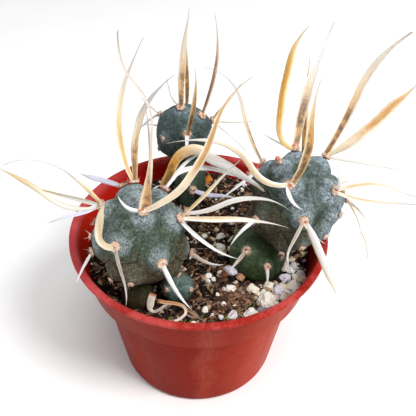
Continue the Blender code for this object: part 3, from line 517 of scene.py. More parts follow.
def spine_material(kind):
    core, second, edge, tip, dark, band, streak, root_dark, reach = SPINE_KINDS[kind]
    core, second, edge, tip, dark = (srgb(*c) for c in (core, second, edge, tip, dark))
    s = Shader("papery_spine_" + kind)
    bl = s.node("ShaderNodeSeparateXYZ", {0: s.attr("blade").outputs["Vector"]})
    u, y, t = bl.outputs                         # across -1..1, along in mm, along 0..1
    seed = s.attr("seed").outputs["Fac"]
    au = s.math("ABSOLUTE", u)
    off = s.math("ABSOLUTE", s.add(u, s.mul(s.math("SINE", s.mul(seed, 5.3)), 0.35)))
    fibre = s.noise(1.0, 5, 0.7, vector=s.vec(s.mul(u, 5.0), s.mul(y, 0.08), s.mul(seed, 7.3)))
    thread = s.noise(1.0, 4, 0.7, vector=s.vec(s.mul(u, 11.0), s.mul(y, 0.16), s.mul(seed, 2.9)))
    blotch = s.noise(1.0, 3, 0.6, vector=s.vec(s.mul(u, 0.4), s.mul(y, 0.21), s.mul(seed, 3.1)))
    ring = s.noise(1.0, 3, 0.6, vector=s.vec(s.mul(u, 0.15), s.mul(y, 0.9), s.add(seed, 20.0)))
    inner = s.ramp01(s.add(t, s.around(blotch, 0.3)), reach + 0.15, max(0.05, reach - 0.3))
    if kind in RISE:
        inner = s.mul(inner, s.ramp01(s.add(t, s.around(blotch, 0.2)), RISE[kind] - 0.16, RISE[kind] + 0.1))
    mid = s.ramp01(s.add(off, s.around(fibre, 0.6)), 0.85, 0.25)
    col = s.mix(s.ramp01(fibre, 0.35, 0.68), second, s.mix(0.5, second, edge))
    col = s.mix(s.mul(s.mul(mid, inner), 0.85), col, core)
    col = s.mix(s.mul(s.ramp01(thread, 0.53, 0.66), s.mul(s.add(0.3, s.mul(inner, 0.7)), streak * 0.62)), col, dark)
    col = s.mix(s.mul(s.ramp01(thread, 0.44, 0.34), 0.35), col, edge)
    # dark bands: soft blotches the whole width of the blade, and a dark root
    b = s.mul(s.ramp01(blotch, 0.42, 0.57), s.mul(s.ramp01(s.add(t, s.around(ring, 0.2)), reach, reach * 0.6), band))
    if root_dark:
        b = s.math("MAXIMUM", b, s.mul(s.ramp01(s.add(t, s.around(blotch, 0.35)), root_dark * 1.25, root_dark * 0.45), band * 0.8))
    lines = s.add(0.62, s.mul(s.ramp01(thread, 0.35, 0.62), 0.38))
    col = s.mix(s.mul(s.mul(b, lines), s.add(0.15, s.mul(s.ramp01(au, 1.05, 0.35), 0.75))), col, dark)
    col = s.mix(s.mul(s.mul(s.ramp01(ring, 0.56, 0.68), inner), 0.12 + band * 0.35), col, s.mix(0.5, dark, core))
    col = s.mix(s.mul(s.ramp01(s.add(off, s.around(thread, 0.3)), 0.62, 1.0), s.add(0.45, s.mul(s.ramp01(fibre, 0.4, 0.6), 0.35))), col, edge)
    ends = s.ramp01(s.add(t, s.around(fibre, 0.25)), max(0.1, reach - 0.15), min(1.0, reach + 0.3))
    col = s.mix(ends, col, s.mix(s.ramp01(thread, 0.4, 0.62), tip, s.mix(0.35, tip, dark)))
    col = s.mix(s.mul(s.ramp01(t, 0.86, 1.0), 0.75), col, srgb(170, 152, 134))
    col = s.mix(s.ramp01(y, 1.6, 0.2), col, srgb(170, 104, 58))
    h = s.add(s.mul(fibre, 1.2), s.add(s.mul(ring, 0.35), s.mul(thread, 0.8)))
    nrm = s.bump(h, 0.45, 0.0002)
    return s.set(color=col, rough=s.add(0.40, s.mul(fibre, 0.25)), normal=nrm, spec=0.3,
                 sss=0.12, sss_radius=(1.0, 0.8, 0.55), sss_scale=0.0008)


def tone_material(name, rough, grain, depth, sheen=0.0, sss=0.0, contrast=0.5):
    """Each bit has its own tone, broken up by a fine grain."""
    s = Shader(name)
    tone = s.attr("tone").outputs["Color"]
    g = s.noise(grain, 5, 0.7)
    col = s.mix(s.mul(s.ramp01(g, 0.62, 0.35), contrast), tone, s.mix(0.75, tone, (0.01, 0.006, 0.004, 1.0)))
    col = s.mix(s.mul(s.ramp01(g, 0.6, 0.75), contrast * 0.6), col, s.mix(0.5, tone, (0.8, 0.72, 0.62, 1.0)))
    nrm = s.bump(s.noise(grain * 1.7, 4, 0.7), 0.6, depth)
    return s.set(color=col, rough=rough, normal=nrm, spec=0.25, sheen=sheen, sss=sss, sss_radius=(1.0, 0.7, 0.5), sss_scale=0.0008)


def soil_material():
    s = Shader("potting_mix")
    a, b = s.noise(0.5, 6, 0.7), s.noise(1.9, 5, 0.7)
    col = s.mix(s.ramp01(a, 0.35, 0.65), srgb(26, 18, 14), srgb(64, 44, 32))
    col = s.mix(s.mul(s.ramp01(b, 0.55, 0.7), 0.6), col, srgb(112, 84, 62))
    col = s.mix(s.ramp01(s.noise(0.12, 3, 0.5), 0.64, 0.78), col, srgb(60, 56, 30))
    nrm = s.bump(b, 0.9, 0.0006, s.bump(a, 0.8, 0.0012))
    return s.set(color=col, rough=0.95, normal=nrm, spec=0.12)


def stone_material():
    s = Shader("pumice")
    tone = s.attr("tone").outputs["Color"]
    a = s.noise(0.35, 5, 0.65)
    b = s.noise(2.2, 5, 0.75)
    pit = s.voronoi(1.5)
    col = s.mix(s.ramp01(a, 0.34, 0.54), s.mix(0.25, tone, srgb(214, 196, 170)), tone)
    col = s.mix(s.mul(s.ramp01(pit, 0.22, 0.06), s.ramp01(b, 0.44, 0.6)), col, srgb(150, 130, 110))
    col = s.mix(s.mul(s.ramp01(b, 0.56, 0.68), 0.6), col, srgb(252, 250, 247))
    col = s.mix(s.mul(s.ramp01(s.noise(0.24, 4, 0.6), 0.58, 0.68), 0.55), col, srgb(186, 156, 116))
    col = s.mix(s.mul(s.ramp01(b, 0.40, 0.30), 0.3), col, srgb(168, 150, 138))
    h = s.add(b, s.mul(s.ramp01(pit, 0.0, 0.4), 0.7))
    nrm = s.bump(h, 0.9, 0.0005)
    return s.set(color=col, rough=0.92, normal=nrm, spec=0.2, sss=0.04, sss_radius=(1.0, 0.9, 0.8), sss_scale=0.001)


# ---------------------------------------------------------------- mesh helpers
def mesh_object(name, verts, faces, mats, attrs=None, mat_index=None, smooth=True, sharp=None):
    """verts in mm. attrs: name -> (type, per-vertex array)."""
    me = bpy.data.meshes.new(name)
    me.from_pydata((np.asarray(verts, float) * MM).tolist(), [], faces)
    for m in mats:
        me.materials.append(m)
    if mat_index is not None:
        me.polygons.foreach_set("material_index", np.asarray(mat_index, np.int32))
    for key, (kind, data) in (attrs or {}).items():
        at = me.attributes.new(key, kind, "POINT")
        data = np.asarray(data, np.float32)
        field = {"FLOAT": "value", "FLOAT_VECTOR": "vector", "FLOAT_COLOR": "color"}[kind]
        at.data.foreach_set(field, data.ravel())
    if smooth:
        me.shade_smooth()
        if sharp is not None:
            me.set_sharp_from_angle(angle=math.radians(sharp))
    me.update()
    ob = bpy.data.objects.new(name, me)
    scene.collection.objects.link(ob)
    return ob


class Bits:
    """Many small closed shapes gathered into one mesh."""
    def __init__(self):
        self.v, self.f, self.m, self.n = [], [], [], 0
        self.tone, self.blade, self.seed = [], [], []

    def add(self, verts, faces, mat=0, tone=(1, 1, 1, 1), blade=None, seed=0.0):
        verts = np.asarray(verts, float)
        n = self.n
        self.v.append(verts)
        self.f.extend([tuple(i + n for i in f) for f in faces])
        self.m.extend([mat] * len(faces))
        k = len(verts)
        tone = np.asarray(tone, float)
        self.tone.append(np.tile(tone, (k, 1)) if tone.ndim == 1 else tone)
        self.blade.append(np.zeros((k, 3)) if blade is None else np.asarray(blade, float))
        self.seed.append(np.full(k, seed))
        self.n += k

    def build(self, name, mats, smooth=True, sharp=None):
        return mesh_object(name, np.concatenate(self.v), self.f, mats,
                           {"tone": ("FLOAT_COLOR", np.concatenate(self.tone)),
                            "blade": ("FLOAT_VECTOR", np.concatenate(self.blade)),
                            "seed": ("FLOAT", np.concatenate(self.seed))}, self.m, smooth, sharp)


def piece(ob, node=None):
    """Every piece moves with the one body; some stand in for a node of the frame."""
    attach(ob, "root")
    if node:
        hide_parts(node)
    return ob


def direction(az, el):
    a, e = math.radians(az), math.radians(el)
    return Vector((math.cos(a) * math.cos(e), math.sin(a) * math.cos(e), math.sin(e)))


def lean(az, tilt):
    a, t = math.radians(az), math.radians(tilt)
    z = Vector((math.cos(a) * math.sin(t), math.sin(a) * math.sin(t), math.cos(t)))
    x = (Vector((1, 0, 0)) - z * z.x).normalized()
    y = z.cross(x)
    return Matrix((x, y, z)).transposed()


def ease(s, a, b):
    t = min(1.0, max(0.0, (s - a) / (b - a)))
    return t * t * (3 - 2 * t)


# which way the pale side of a segment faces: partly its waxy young top, partly painted light on the side the key light
# falls on
PALE_AND_LIT_SIDE = {"right_segment": (0.42, 0.1, 0.85), "left_segment": (0.12, 0.1, 0.98), "right_base_segment": (-0.5, 0.0, 0.8)}
RELIEF = {"back_segment": 0.08, "back_base_segment": 0.10, "right_base_segment": 0.08, "left_offset": 0.10, "left_stem": 0.10}


def areoles(seg):
    found = [direction(az, el) for s, az, el, _ in CLUSTERS.values() if s == seg]
    return found + [direction(az, el) for az, el in TUFTS[seg]]


AREOLES = {s: np.array([tuple(d) for d in areoles(s)]) for s in SEGMENTS}


def swell(seg, dirs):
    """Tubercle height 0..1, radius factor, and nearness to the seam between two tubercles."""
    dots = np.clip(dirs @ AREOLES[seg].T, -1, 1)
    ang = np.degrees(np.arccos(dots))
    e = np.exp(-(ang / 20.0) ** 2)
    total = np.clip(np.power(np.power(e, 4).sum(1), 0.25), 0.4, 1.0)
    near = np.sort(ang, 1)
    seam = np.exp(-((near[:, 1] - near[:, 0]) / 2.2) ** 2) * np.clip((near[:, 0] - 9.0) / 6.0, 0, 1)
    relief = RELIEF.get(seg, 0.21)
    return total, 1.01 - relief * (1.0 - total), seam


def on_segment(seg, d, out=0.0):
    c, axes, az, tilt = SEGMENTS[seg]
    k = float(swell(seg, np.array([tuple(d)]))[1][0])
    p = Vector((d.x * (axes[0] * k + out), d.y * (axes[1] * k + out), d.z * (axes[2] * k + out)))
    return Vector(c) + lean(az, tilt) @ p


def normal_at(seg, d):
    _, axes, az, tilt = SEGMENTS[seg]
    n = Vector((d.x / axes[0], d.y / axes[1], d.z / axes[2]))
    return (lean(az, tilt) @ n).normalized()


def inner_radius(z):
    if z >= COLLAR_Z + 1.2:
        t = (z - COLLAR_Z - 1.2) / (POT_H - 2.0 - COLLAR_Z - 1.2)
        return (COLLAR_BOTTOM - WALL) + t * (COLLAR_TOP - COLLAR_BOTTOM)
    t = (z - FOOT_ROUND - 1.0) / (COLLAR_Z - FOOT_ROUND - 1.0)
    return (FOOT_R - WALL) + t * (BODY_TOP - FOOT_R)


def soil_height(x, y):
    bumps = 0.5 * np.sin(0.31 * x + 0.7) * np.cos(0.27 * y) + 0.35 * np.sin(0.53 * y - 0.4 * x)
    return SOIL_Z + SOIL_RISE * y + bumps


# ---------------------------------------------------------------- pot
def make_pot(mat):
    sides = 192

    def arc(cx, cz, r, a0, a1, n):
        return [(cx + r * math.cos(math.radians(a0 + (a1 - a0) * i / n)),
                 cz + r * math.sin(math.radians(a0 + (a1 - a0) * i / n))) for i in range(n + 1)]

    def line(p, q, n):
        return [(p[0] + (q[0] - p[0]) * i / n, p[1] + (q[1] - p[1]) * i / n) for i in range(1, n)]

    R = FOOT_ROUND
    prof = [(6.0, 0.0), (20.0, 0.0)] + arc(FOOT_R - R, R, R, -90, 0, 6)
    a = prof[-1]
    step = [(BODY_TOP, COLLAR_Z - 1.7), (BODY_TOP + 0.12, COLLAR_Z - 1.15), (BODY_TOP + 0.5, COLLAR_Z - 0.85),
            (COLLAR_BOTTOM - 0.6, COLLAR_Z - 0.45), (COLLAR_BOTTOM, COLLAR_Z - 0.35)]
    prof += line(a, step[0], 14) + step
    top = (COLLAR_TOP - 0.05, POT_H - LIP_T - 0.8)
    prof += line(step[-1], top, 7) + [top, (COLLAR_TOP + 0.1, POT_H - LIP_T - 0.3), (COLLAR_TOP + 0.5, POT_H - LIP_T)]
    prof += [(LIP_R - 0.9, POT_H - LIP_T)] + arc(LIP_R - 0.55, POT_H - LIP_T + 0.55, 0.55, -90, 0, 3)
    prof += arc(LIP_R - 0.6, POT_H - 0.6, 0.6, 0, 90, 4)
    n_out = len(prof)
    prof += [(LIP_IN + 0.5, POT_H), (LIP_IN, POT_H - 0.06), (LIP_IN - 0.35, POT_H - 0.3), (LIP_IN - 0.62, POT_H - 0.75)]
    n_lip = len(prof)
    b = (inner_radius(POT_H - 2.0), POT_H - 2.0)
    ledge = [(inner_radius(COLLAR_Z + 1.3), COLLAR_Z + 1.3), (COLLAR_BOTTOM - WALL - 0.45, COLLAR_Z + 0.75),
             (COLLAR_BOTTOM - WALL - 1.2, COLLAR_Z + 0.55), (inner_radius(COLLAR_Z) + 0.5, COLLAR_Z + 0.45),
             (inner_radius(COLLAR_Z) + 0.08, COLLAR_Z + 0.1)]
    prof += [b] + line(b, ledge[0], 6) + ledge
    c = (inner_radius(FOOT_ROUND + 1.0), FOOT_ROUND + 1.0)
    prof += line(ledge[-1], c, 6) + [c, (FOOT_R - WALL - 0.9, BASE_T + 0.5), (FOOT_R - WALL - 2.4, BASE_T), (6.0, BASE_T)]
    rows = len(prof)
    ang = 2 * np.pi * np.arange(sides) / sides
    verts, side, wrap = [], [], []
    run = 0.0
    for j, (r, z) in enumerate(prof):
        if j:
            run += math.hypot(r - prof[j - 1][0], z - prof[j - 1][1])
        wob = 1.0 + 0.0012 * np.sin(2 * ang + 0.6) + 0.0008 * np.sin(5 * ang)   # thin plastic is never quite round
        rr = r * wob
        verts.append(np.stack([rr * np.cos(ang), rr * np.sin(ang), np.full(sides, z)], 1))
        s = 0.0 if j < n_out - 9 else (0.5 if j < n_lip else 1.0)
        if j >= n_lip:
            s = 0.8 if j == n_lip else 1.0
        side.append(np.full(sides, s))
        wrap.append(np.stack([((ang - math.pi / 2) % (2 * math.pi)) * 45.0, np.full(sides, run), np.zeros(sides)], 1))
    verts = np.concatenate(verts).tolist()
    faces = []
    for j in range(rows - 1):
        for i in range(sides):
            k = (i + 1) % sides
            faces.append((j * sides + i, j * sides + k, (j + 1) * sides + k, (j + 1) * sides + i))
    side = np.concatenate(side).tolist() + [0.0, 1.0]
    wrap = np.concatenate(wrap).tolist() + [[0, 0, 0], [0, 0, 0]]
    lo, hi = len(verts), len(verts) + 1
    verts += [[0, 0, 0.0], [0, 0, BASE_T]]
    last = (rows - 1) * sides
    for i in range(sides):
        k = (i + 1) % sides
        faces.append((lo, k, i))
        faces.append((hi, last + i, last + k))
    pot = mesh_object("nursery_pot_shell", verts, faces, [mat],
                      {"side": ("FLOAT", side), "wrap": ("FLOAT_VECTOR", wrap)}, smooth=True, sharp=50)
    for i in range(SLOTS):
        a = 2 * math.pi * (i + 0.5) / SLOTS + math.radians(SLOT_TURN)
        bpy.ops.mesh.primitive_cube_add(size=1)
        cut = bpy.context.active_object
        cut.scale = (0.008, SLOT_W * MM, (SLOT_H + 1) * MM)
        cut.rotation_euler = (0, 0, a)
        r = (FOOT_R - 2.2 + 4.0) * MM
        cut.location = (r * math.cos(a), r * math.sin(a), (SLOT_H - 1) / 2 * MM)
        mod = pot.modifiers.new("slot", "BOOLEAN")
        mod.operation, mod.object, mod.solver = "DIFFERENCE", cut, "EXACT"
        deps = bpy.context.evaluated_depsgraph_get()
        me = bpy.data.meshes.new_from_object(pot.evaluated_get(deps))
        pot.modifiers.clear()
        pot.data = me
        bpy.data.objects.remove(cut)
    piece(pot, "nursery_pot")


# ---------------------------------------------------------------- stem segments
def make_segment(name, nu, nv):
    c, axes, az, tilt = SEGMENTS[name]
    M = np.array(lean(az, tilt))
    u = 2 * np.pi * np.arange(nu) / nu
    v = -np.pi / 2 + np.pi * np.arange(1, nv) / nv
    U, V = np.meshgrid(u, v)
    dirs = np.stack([np.cos(U) * np.cos(V), np.sin(U) * np.cos(V), np.sin(V)], -1).reshape(-1, 3)
    dirs = np.concatenate([[[0, 0, -1.0]], dirs, [[0, 0, 1.0]]])
    tub, k, seam = swell(name, dirs)
    rad = np.array(axes)
    grain = np.array([noise.fractal(Vector(d * 5.0 + rad), 0.8, 2.1, 3) for d in dirs])
    fine = np.array([noise.noise(Vector(d * 26.0 + rad)) for d in dirs])
    scale = rad.mean()
    low = np.clip((-dirs[:, 2] + 0.35) / 0.8, 0, 1)
    k = k + (0.14 * grain + 0.05 * fine - 0.22 * seam * (0.3 + 0.7 * low)) / scale * np.clip(scale / 12.0, 0.5, 1.2)
    p = dirs * k[:, None] * rad
    verts = p @ M.T + np.array(c)
    height = np.clip((dirs @ np.array(PALE_AND_LIT_SIDE.get(name, (0.0, 0.0, 1.0))) + 1) / 2, 0, 1)
    faces = []
    for i in range(nu):
        j2 = (i + 1) % nu
        faces.append((0, 1 + j2, 1 + i))
        for j in range(nv - 2):
            a = 1 + j * nu
            faces.append((a + i, a + j2, a + nu + j2, a + nu + i))
        top = 1 + (nv - 2) * nu
        faces.append((top + i, top + j2, len(verts) - 1))
    ob = mesh_object(name + "_flesh", verts, faces, [skin_material(name)],
                     {"tub": ("FLOAT", tub), "height": ("FLOAT", height), "groove": ("FLOAT", seam)})
    return piece(ob, name)


# ---------------------------------------------------------------- areoles and spines
def icosphere(sub):
    bm = bmesh.new()
    bmesh.ops.create_icosphere(bm, subdivisions=sub, radius=1.0)
    v = np.array([tuple(x.co) for x in bm.verts])
    f = [tuple(x.index for x in q.verts) for q in bm.faces]
    bm.free()
    return v, f


ICO = {k: icosphere(k) for k in (1, 2, 3, 4, 5)}


def blend(a, b, t):
    return [a[i] * (1 - t) + b[i] * t for i in range(3)] + [1.0]


def hair(bits, root, d, length, width, mat, tone, bend=0.3, rng=random):
    """A fine three-sided bristle that tapers to a point."""
    d = d.normalized()
    a = d.cross(Vector((0.3, 0.5, 0.8))).normalized()
    b = d.cross(a)
    curve = (a * rng.uniform(-1, 1) + b * rng.uniform(-1, 1)) * bend * length
    verts = []
    for t, w in ((0.0, 1.0), (0.5, 0.75)):
        p = root + d * (length * t) + curve * t * t
        for k in range(3):
            an = 2.0944 * k
            verts.append(p + (a * math.cos(an) + b * math.sin(an)) * (width * w / 2))
    verts.append(root + d * length + curve)
    faces = [(2, 1, 0)] + [(k, (k + 1) % 3, 3 + (k + 1) % 3, 3 + k) for k in range(3)] + \
            [(3 + k, 3 + (k + 1) % 3, 6) for k in range(3)]
    bits.add([tuple(v) for v in verts], faces, mat, tone)


def areole(bits, root, n, radius, rng, wool=0, bristles=36, bud=False, sub=4):
    """A ring of wool round a rust-red pit, with short bristles and a few longer glochids."""
    u = n.cross(Vector((0, 0, 1)) if abs(n.z) < 0.9 else Vector((1, 0, 0))).normalized()
    v = n.cross(u)
    iv, iff = ICO[sub]
    seed = rng.uniform(0, 50)
    pts, tone = [], []
    pit, cream, rim = srgb(200, 96, 54), srgb(238, 214, 192), srgb(190, 136, 106)
    ox, oy = rng.uniform(-0.3, 0.3), rng.uniform(-0.3, 0.3)
    for q in iv:
        lump = noise.noise(Vector(q) * 2.4 + Vector((seed, 0, 0)))
        tiny = noise.noise(Vector(q) * 7.0 + Vector((0, seed, 0)))
        k = 1.0 + 0.34 * lump + 0.22 * tiny
        r = math.hypot(q[0] - ox, q[1] - oy)
        h = q[2] * (0.55 if q[2] > 0 else 0.3)
        if q[2] > 0:
            h -= 0.24 * math.exp(-(r / 0.34) ** 2)
            h += 0.14 * tiny
        p = root + n * (0.45 + h * radius * k) + (u * q[0] + v * q[1]) * (radius * k * 0.96)
        pts.append(tuple(p))
        m = r + 0.45 * lump + 0.40 * tiny
        if q[2] < 0:
            tone.append(list(rim))
        elif m < 0.5:
            tone.append(blend(pit, cream, ease(m, 0.15, 0.5)))
        else:
            tone.append(blend(cream, rim, 0.8 * ease(m, 0.95, 1.35)))
    bits.add(pts, iff, wool, np.array(tone))
    cols = [srgb(232, 210, 186), srgb(216, 164, 126), srgb(240, 230, 214), srgb(184, 112, 72), srgb(236, 218, 196),
            srgb(112, 74, 52)]
    for i in range(bristles):
        an = rng.uniform(0, 2 * math.pi)
        out = rng.uniform(0.35, 1.0)
        base = root + n * 0.5 + (u * math.cos(an) + v * math.sin(an)) * (radius * out * 0.85)
        d = n * rng.uniform(0.4, 1.0) + (u * math.cos(an) + v * math.sin(an)) * (0.25 + out * rng.uniform(0.3, 1.1))
        hair(bits, base, d, rng.uniform(0.5, 1.2) * (0.7 + 0.3 * radius), rng.uniform(0.10, 0.19), wool,
             rng.choice(cols), 0.25, rng)
    for i in range(bristles // 6):      # a few longer glochids
        an = rng.uniform(0, 2 * math.pi)
        base = root + n * 0.5 + (u * math.cos(an) + v * math.sin(an)) * (radius * 0.4)
        d = n + (u * math.cos(an) + v * math.sin(an)) * rng.uniform(0.3, 1.5)
        hair(bits, base, d, rng.uniform(1.6, 3.2), rng.uniform(0.09, 0.15), wool,
             rng.choice([srgb(238, 230, 218), srgb(214, 190, 160), srgb(150, 108, 78)]), 0.3, rng)
    if bud:
        iv2, if2 = ICO[3]
        pts, tone = [], []
        red, wax = srgb(206, 78, 50), srgb(236, 214, 194)
        for q in iv2:
            k = 1.0 + 0.12 * noise.noise(Vector(q) * 3.0 + Vector((seed, 3, 0)))
            p = root + n * (1.7 + q[2] * 1.5 * k) + (u * q[0] + v * q[1]) * (1.05 * k * (1.0 - 0.3 * max(q[2], 0)))
            pts.append(tuple(p))
            scales = 0.5 + 0.5 * math.sin(q[2] * 9.0 + 2.0 * math.atan2(q[1], q[0]) + seed)
            tone.append(blend(wax, red, min(1.0, max(0.0, (q[2] + 0.25) / 0.5)) * (0.45 + 0.55 * scales)))
        bits.add(pts, if2, wool, np.array(tone))


def centreline(start, dirs, length, n):
    ds = [direction(az, el) for az, el in dirs]
    pts = [start.copy()]
    p = start.copy()
    sub = 4
    for i in range(n * sub):
        s = (i + 0.5) / (n * sub) * (len(ds) - 1)
        k = min(int(s), len(ds) - 2)
        f = s - k
        d = ((1 - f) * ds[k] + f * ds[k + 1]).normalized()
        p = p + d * (length / (n * sub))
        if (i + 1) % sub == 0:
            pts.append(p.copy())
    return pts


def blade_width(s, width, form="blade"):
    """Narrow at the root, broadest past the middle, then drawn out to a hair."""
    if form == "spike":
        return width * (1 - 0.84 * ease(s, 0.02, 0.29)) * (1 - 0.4 * ease(s, 0.75, 1.0))
    if form == "broad":
        return width * 0.88 * (0.5 + 0.5 * ease(s, 0.0, 0.25)) * (1 - 0.96 * ease(s, 0.70, 1.02))
    if form == "late":
        return width * (0.7 + 0.3 * ease(s, 0.05, 0.35)) * (1 - 0.96 * ease(s, 0.68, 1.02))
    if form == "elbow":
        return width * (0.8 + 0.2 * ease(s, 0.15, 0.4)) * (1 - 0.75 * ease(s, 0.6, 1.02))
    if form == "strip":
        return width * (1 - 0.3 * ease(s, 0.0, 1.0))
    if form == "sheath":
        return width * (1 - 0.6 * ease(s, 0.3, 0.55))
    if form == "thread":
        return width * (1 - 0.5 * s)
    grow = 0.72 + 0.28 * ease(s, 0.0, 0.3)
    if form == "short":
        return width * grow * (1.0 - s ** 1.6) ** 0.9
    fade = 1.0 - 0.94 * ease(s, 0.42, 1.0)
    return width * 0.95 * grow * fade


def across(pts, face):
    return min((b - a).normalized().cross(face).length for a, b in zip(pts, pts[1:]))


def roll_at(rolls, s):
    x = s * (len(rolls) - 1)
    k = min(int(x), len(rolls) - 2)
    return rolls[k] + (rolls[k + 1] - rolls[k]) * ease(x - k, 0.0, 1.0)


def blade(bits, pts, width, face, mat, seed, rng, form="blade", rolls=None, run=0.0):
    """A papery blade: channelled across, ribbed along, thin at its ragged edges."""
    n = len(pts) - 1
    m = 8 if width > 1.4 else 4            # steps across
    us = np.linspace(-1, 1, m + 1)
    length = sum((pts[i + 1] - pts[i]).length for i in range(n))
    cup = rng.uniform(0.12, 0.22) * rng.choice((1, 1, -1))
    rolls = rolls or [rng.uniform(-8, 8), rng.uniform(-15, 15), rng.uniform(-35, 35)]
    verts, uv = [], []
    length += run
    last = None
    for i in range(n):
        t = (pts[min(i + 1, n)] - pts[max(i - 1, 0)]).normalized()
        side = t.cross(face).normalized()
        if last and side.dot(last) < 0:
            side = -side
        last = side
        s = i / n
        q = Matrix.Rotation(math.radians(roll_at(rolls, s)), 3, t) @ side
        out = q.cross(t).normalized()
        if i:
            run += (pts[i] - pts[i - 1]).length
        w = blade_width(s, width, form)
        ragL = 1.0 + 0.08 * noise.noise(Vector((run * 0.5, seed, 0))) + 0.04 * noise.noise(Vector((run * 2.6, seed, 5)))
        ragR = 1.0 + 0.08 * noise.noise(Vector((run * 0.5, seed, 9))) + 0.04 * noise.noise(Vector((run * 2.6, seed, 14)))
        sway = 0.12 * width * noise.noise(Vector((run * 0.10, seed, 3)))
        th = (0.36 - 0.16 * s) * min(1.0, w / 1.2 + 0.25)
        ring = []
        for u in us:
            half = w / 2 * (ragL if u < 0 else ragR)
            ribs = 0.03 * math.cos(u * 9.0 + seed)
            base = pts[i] + q * (u * half + sway) - out * (cup * w * (u * u)) + out * ribs
            thick = th * (0.25 + 0.75 * math.sqrt(max(0.0, 1 - u * u)))
            ring.append((base, thick, u))
        for base, thick, u in ring:
            verts.append(tuple(base + out * thick / 2))
            uv.append((u, run, s))
        for base, thick, u in reversed(ring):
            verts.append(tuple(base - out * thick / 2))
            uv.append((u, run, s))
    verts.append(tuple(pts[n]))
    uv.append((0, length, 1.0))
    k = 2 * (m + 1)
    faces = [tuple(reversed(range(k)))]
    for i in range(n - 1):
        for j in range(k):
            j2 = (j + 1) % k
            faces.append((i * k + j, i * k + j2, (i + 1) * k + j2, (i + 1) * k + j))
    for j in range(k):
        faces.append(((n - 1) * k + j, (n - 1) * k + (j + 1) % k, n * k))
    bits.add(verts, faces, mat, (1, 1, 1, 1), np.array(uv), seed)


def make_cluster(name, mats, order):
    seg, az, el, spines = CLUSTERS[name]
    rng = random.Random(len(name) * 101 + int(az) * 7 + int(el))
    d = direction(az, el)
    n = normal_at(seg, d)
    root = on_segment(seg, d)
    big = max(w for _, w, _, _ in spines)
    radius = 1.1 * (PAD_R if big > 1.7 else 0.8 * PAD_R)
    u = n.cross(Vector((0, 0, 1)) if abs(n.z) < 0.9 else Vector((1, 0, 0))).normalized()
    face = Vector((0, -0.8, 0.6)) if n.y < 0.75 else Vector((0, 0.8, 0.6))
    choices = (face, Vector((0, 0, 1)), Vector((1, 0, 0)))
    bits = Bits()
    areole(bits, root, n, radius, rng, 0, 84, name == "right_spines_top")
    for i, (length, width, kind, dirs) in enumerate(spines):
        shift = (i - (len(spines) - 1) / 2) * 0.42
        start = root + n * (GAP + 0.1) + u * shift
        pts = centreline(start, dirs, length, max(14, int(length * 1.1)))
        twist = Matrix.Rotation(math.radians((37 * i + 23 * len(name)) % 61 - 30), 3, pts[1] - pts[0])
        looks = [twist @ f for f in choices]
        turned = next((f for f in looks if across(pts, f) > 0.25), max(looks, key=lambda f: across(pts, f)))
        blade(bits, pts, width * FOLD.get((name, i), 1.0), turned, order[kind], rng.uniform(0, 40), rng, FORMS.get((name, i), "short" if length < 30 else "blade"),
              ROLLS.get((name, i)))
        if (name, i) in THREADS:
            length2, width2, kind2, dirs2 = THREADS[name, i]
            blade(bits, centreline(pts[-2], dirs2, length2, 24), width2, turned, order[kind2], 4.0, rng, "thread", run=length)
    return piece(bits.build(name + "_papery", mats, smooth=True, sharp=60), name)


def make_tufts(seg, mats):
    rng = random.Random(len(seg) * 31)
    bits = Bits()
    for az, el in TUFTS[seg]:
        if el > 80:                        # a bare tubercle
            continue
        d = direction(az, el)
        size = 1.1 if seg in ("left_segment", "right_segment") else 0.85
        areole(bits, on_segment(seg, d, -0.25), normal_at(seg, d), size, rng, 0, 26, (seg, az) in BUDS, 3)
    return piece(bits.build(seg + "_tufts", mats, smooth=True, sharp=60))


# ---------------------------------------------------------------- stones, soil, bark
def rock(sub, half, turn, seed):
    """An angular vesicular stone."""
    rng = random.Random(seed)
    iv, iff = ICO[sub]
    bumps = [(Vector((rng.uniform(-1, 1), rng.uniform(-1, 1), rng.uniform(-1, 1))).normalized(),
              rng.uniform(-0.22, 0.16)) for _ in range(7)]
    facets = [(Vector((rng.uniform(-1, 1), rng.uniform(-1, 1), rng.uniform(-1, 1))).normalized(), rng.uniform(0.60, 0.84))
              for _ in range(12)]
    c, s = math.cos(math.radians(turn)), math.sin(math.radians(turn))
    out = []
    for q in iv:
        v = Vector(q)
        k = 1.0 + sum(h * max(0.0, v.dot(d)) ** 3 for d, h in bumps)
        for d, cut in facets:              # flat broken faces
            dd = v.dot(d) * k
            if dd > cut:
                k *= cut / dd * 0.9 + 0.1
        k += 0.12 * noise.noise(v * 2.3 + Vector((seed, 0, 0))) + 0.04 * noise.noise(v * 8.0 + Vector((0, seed, 0))) \
            + 0.03 * noise.noise(v * 17.0 + Vector((0, 0, seed)))
        x, y, z = v.x * half[0] * k, v.y * half[1] * k, v.z * half[2] * k
        out.append((x * c - y * s, x * s + y * c, z))
    return np.array(out), iff


def make_stones(mat):
    tones = [srgb(250, 243, 230), srgb(254, 250, 244), srgb(246, 234, 214), srgb(252, 247, 238), srgb(230, 226, 238),
             srgb(244, 238, 228), srgb(238, 230, 236), srgb(250, 242, 226), srgb(236, 232, 238), srgb(254, 252, 246)]
    for i, (x, y, sx, sy, sz, turn) in enumerate(PUMICE):
        v, f = rock(5 if sx > 3 else 4, (sx * 1.08, sy * 1.08, sz * 1.08), turn, i)
        v = v + np.array([x, y, soil_height(x, y) + 0.35 * sz])
        ob = mesh_object(f"pumice_{i + 1}_stone", v, f, [mat],
                         {"tone": ("FLOAT_COLOR", np.tile(tones[i], (len(v), 1)))}, smooth=True, sharp=70)
        piece(ob, f"pumice_{i + 1}")


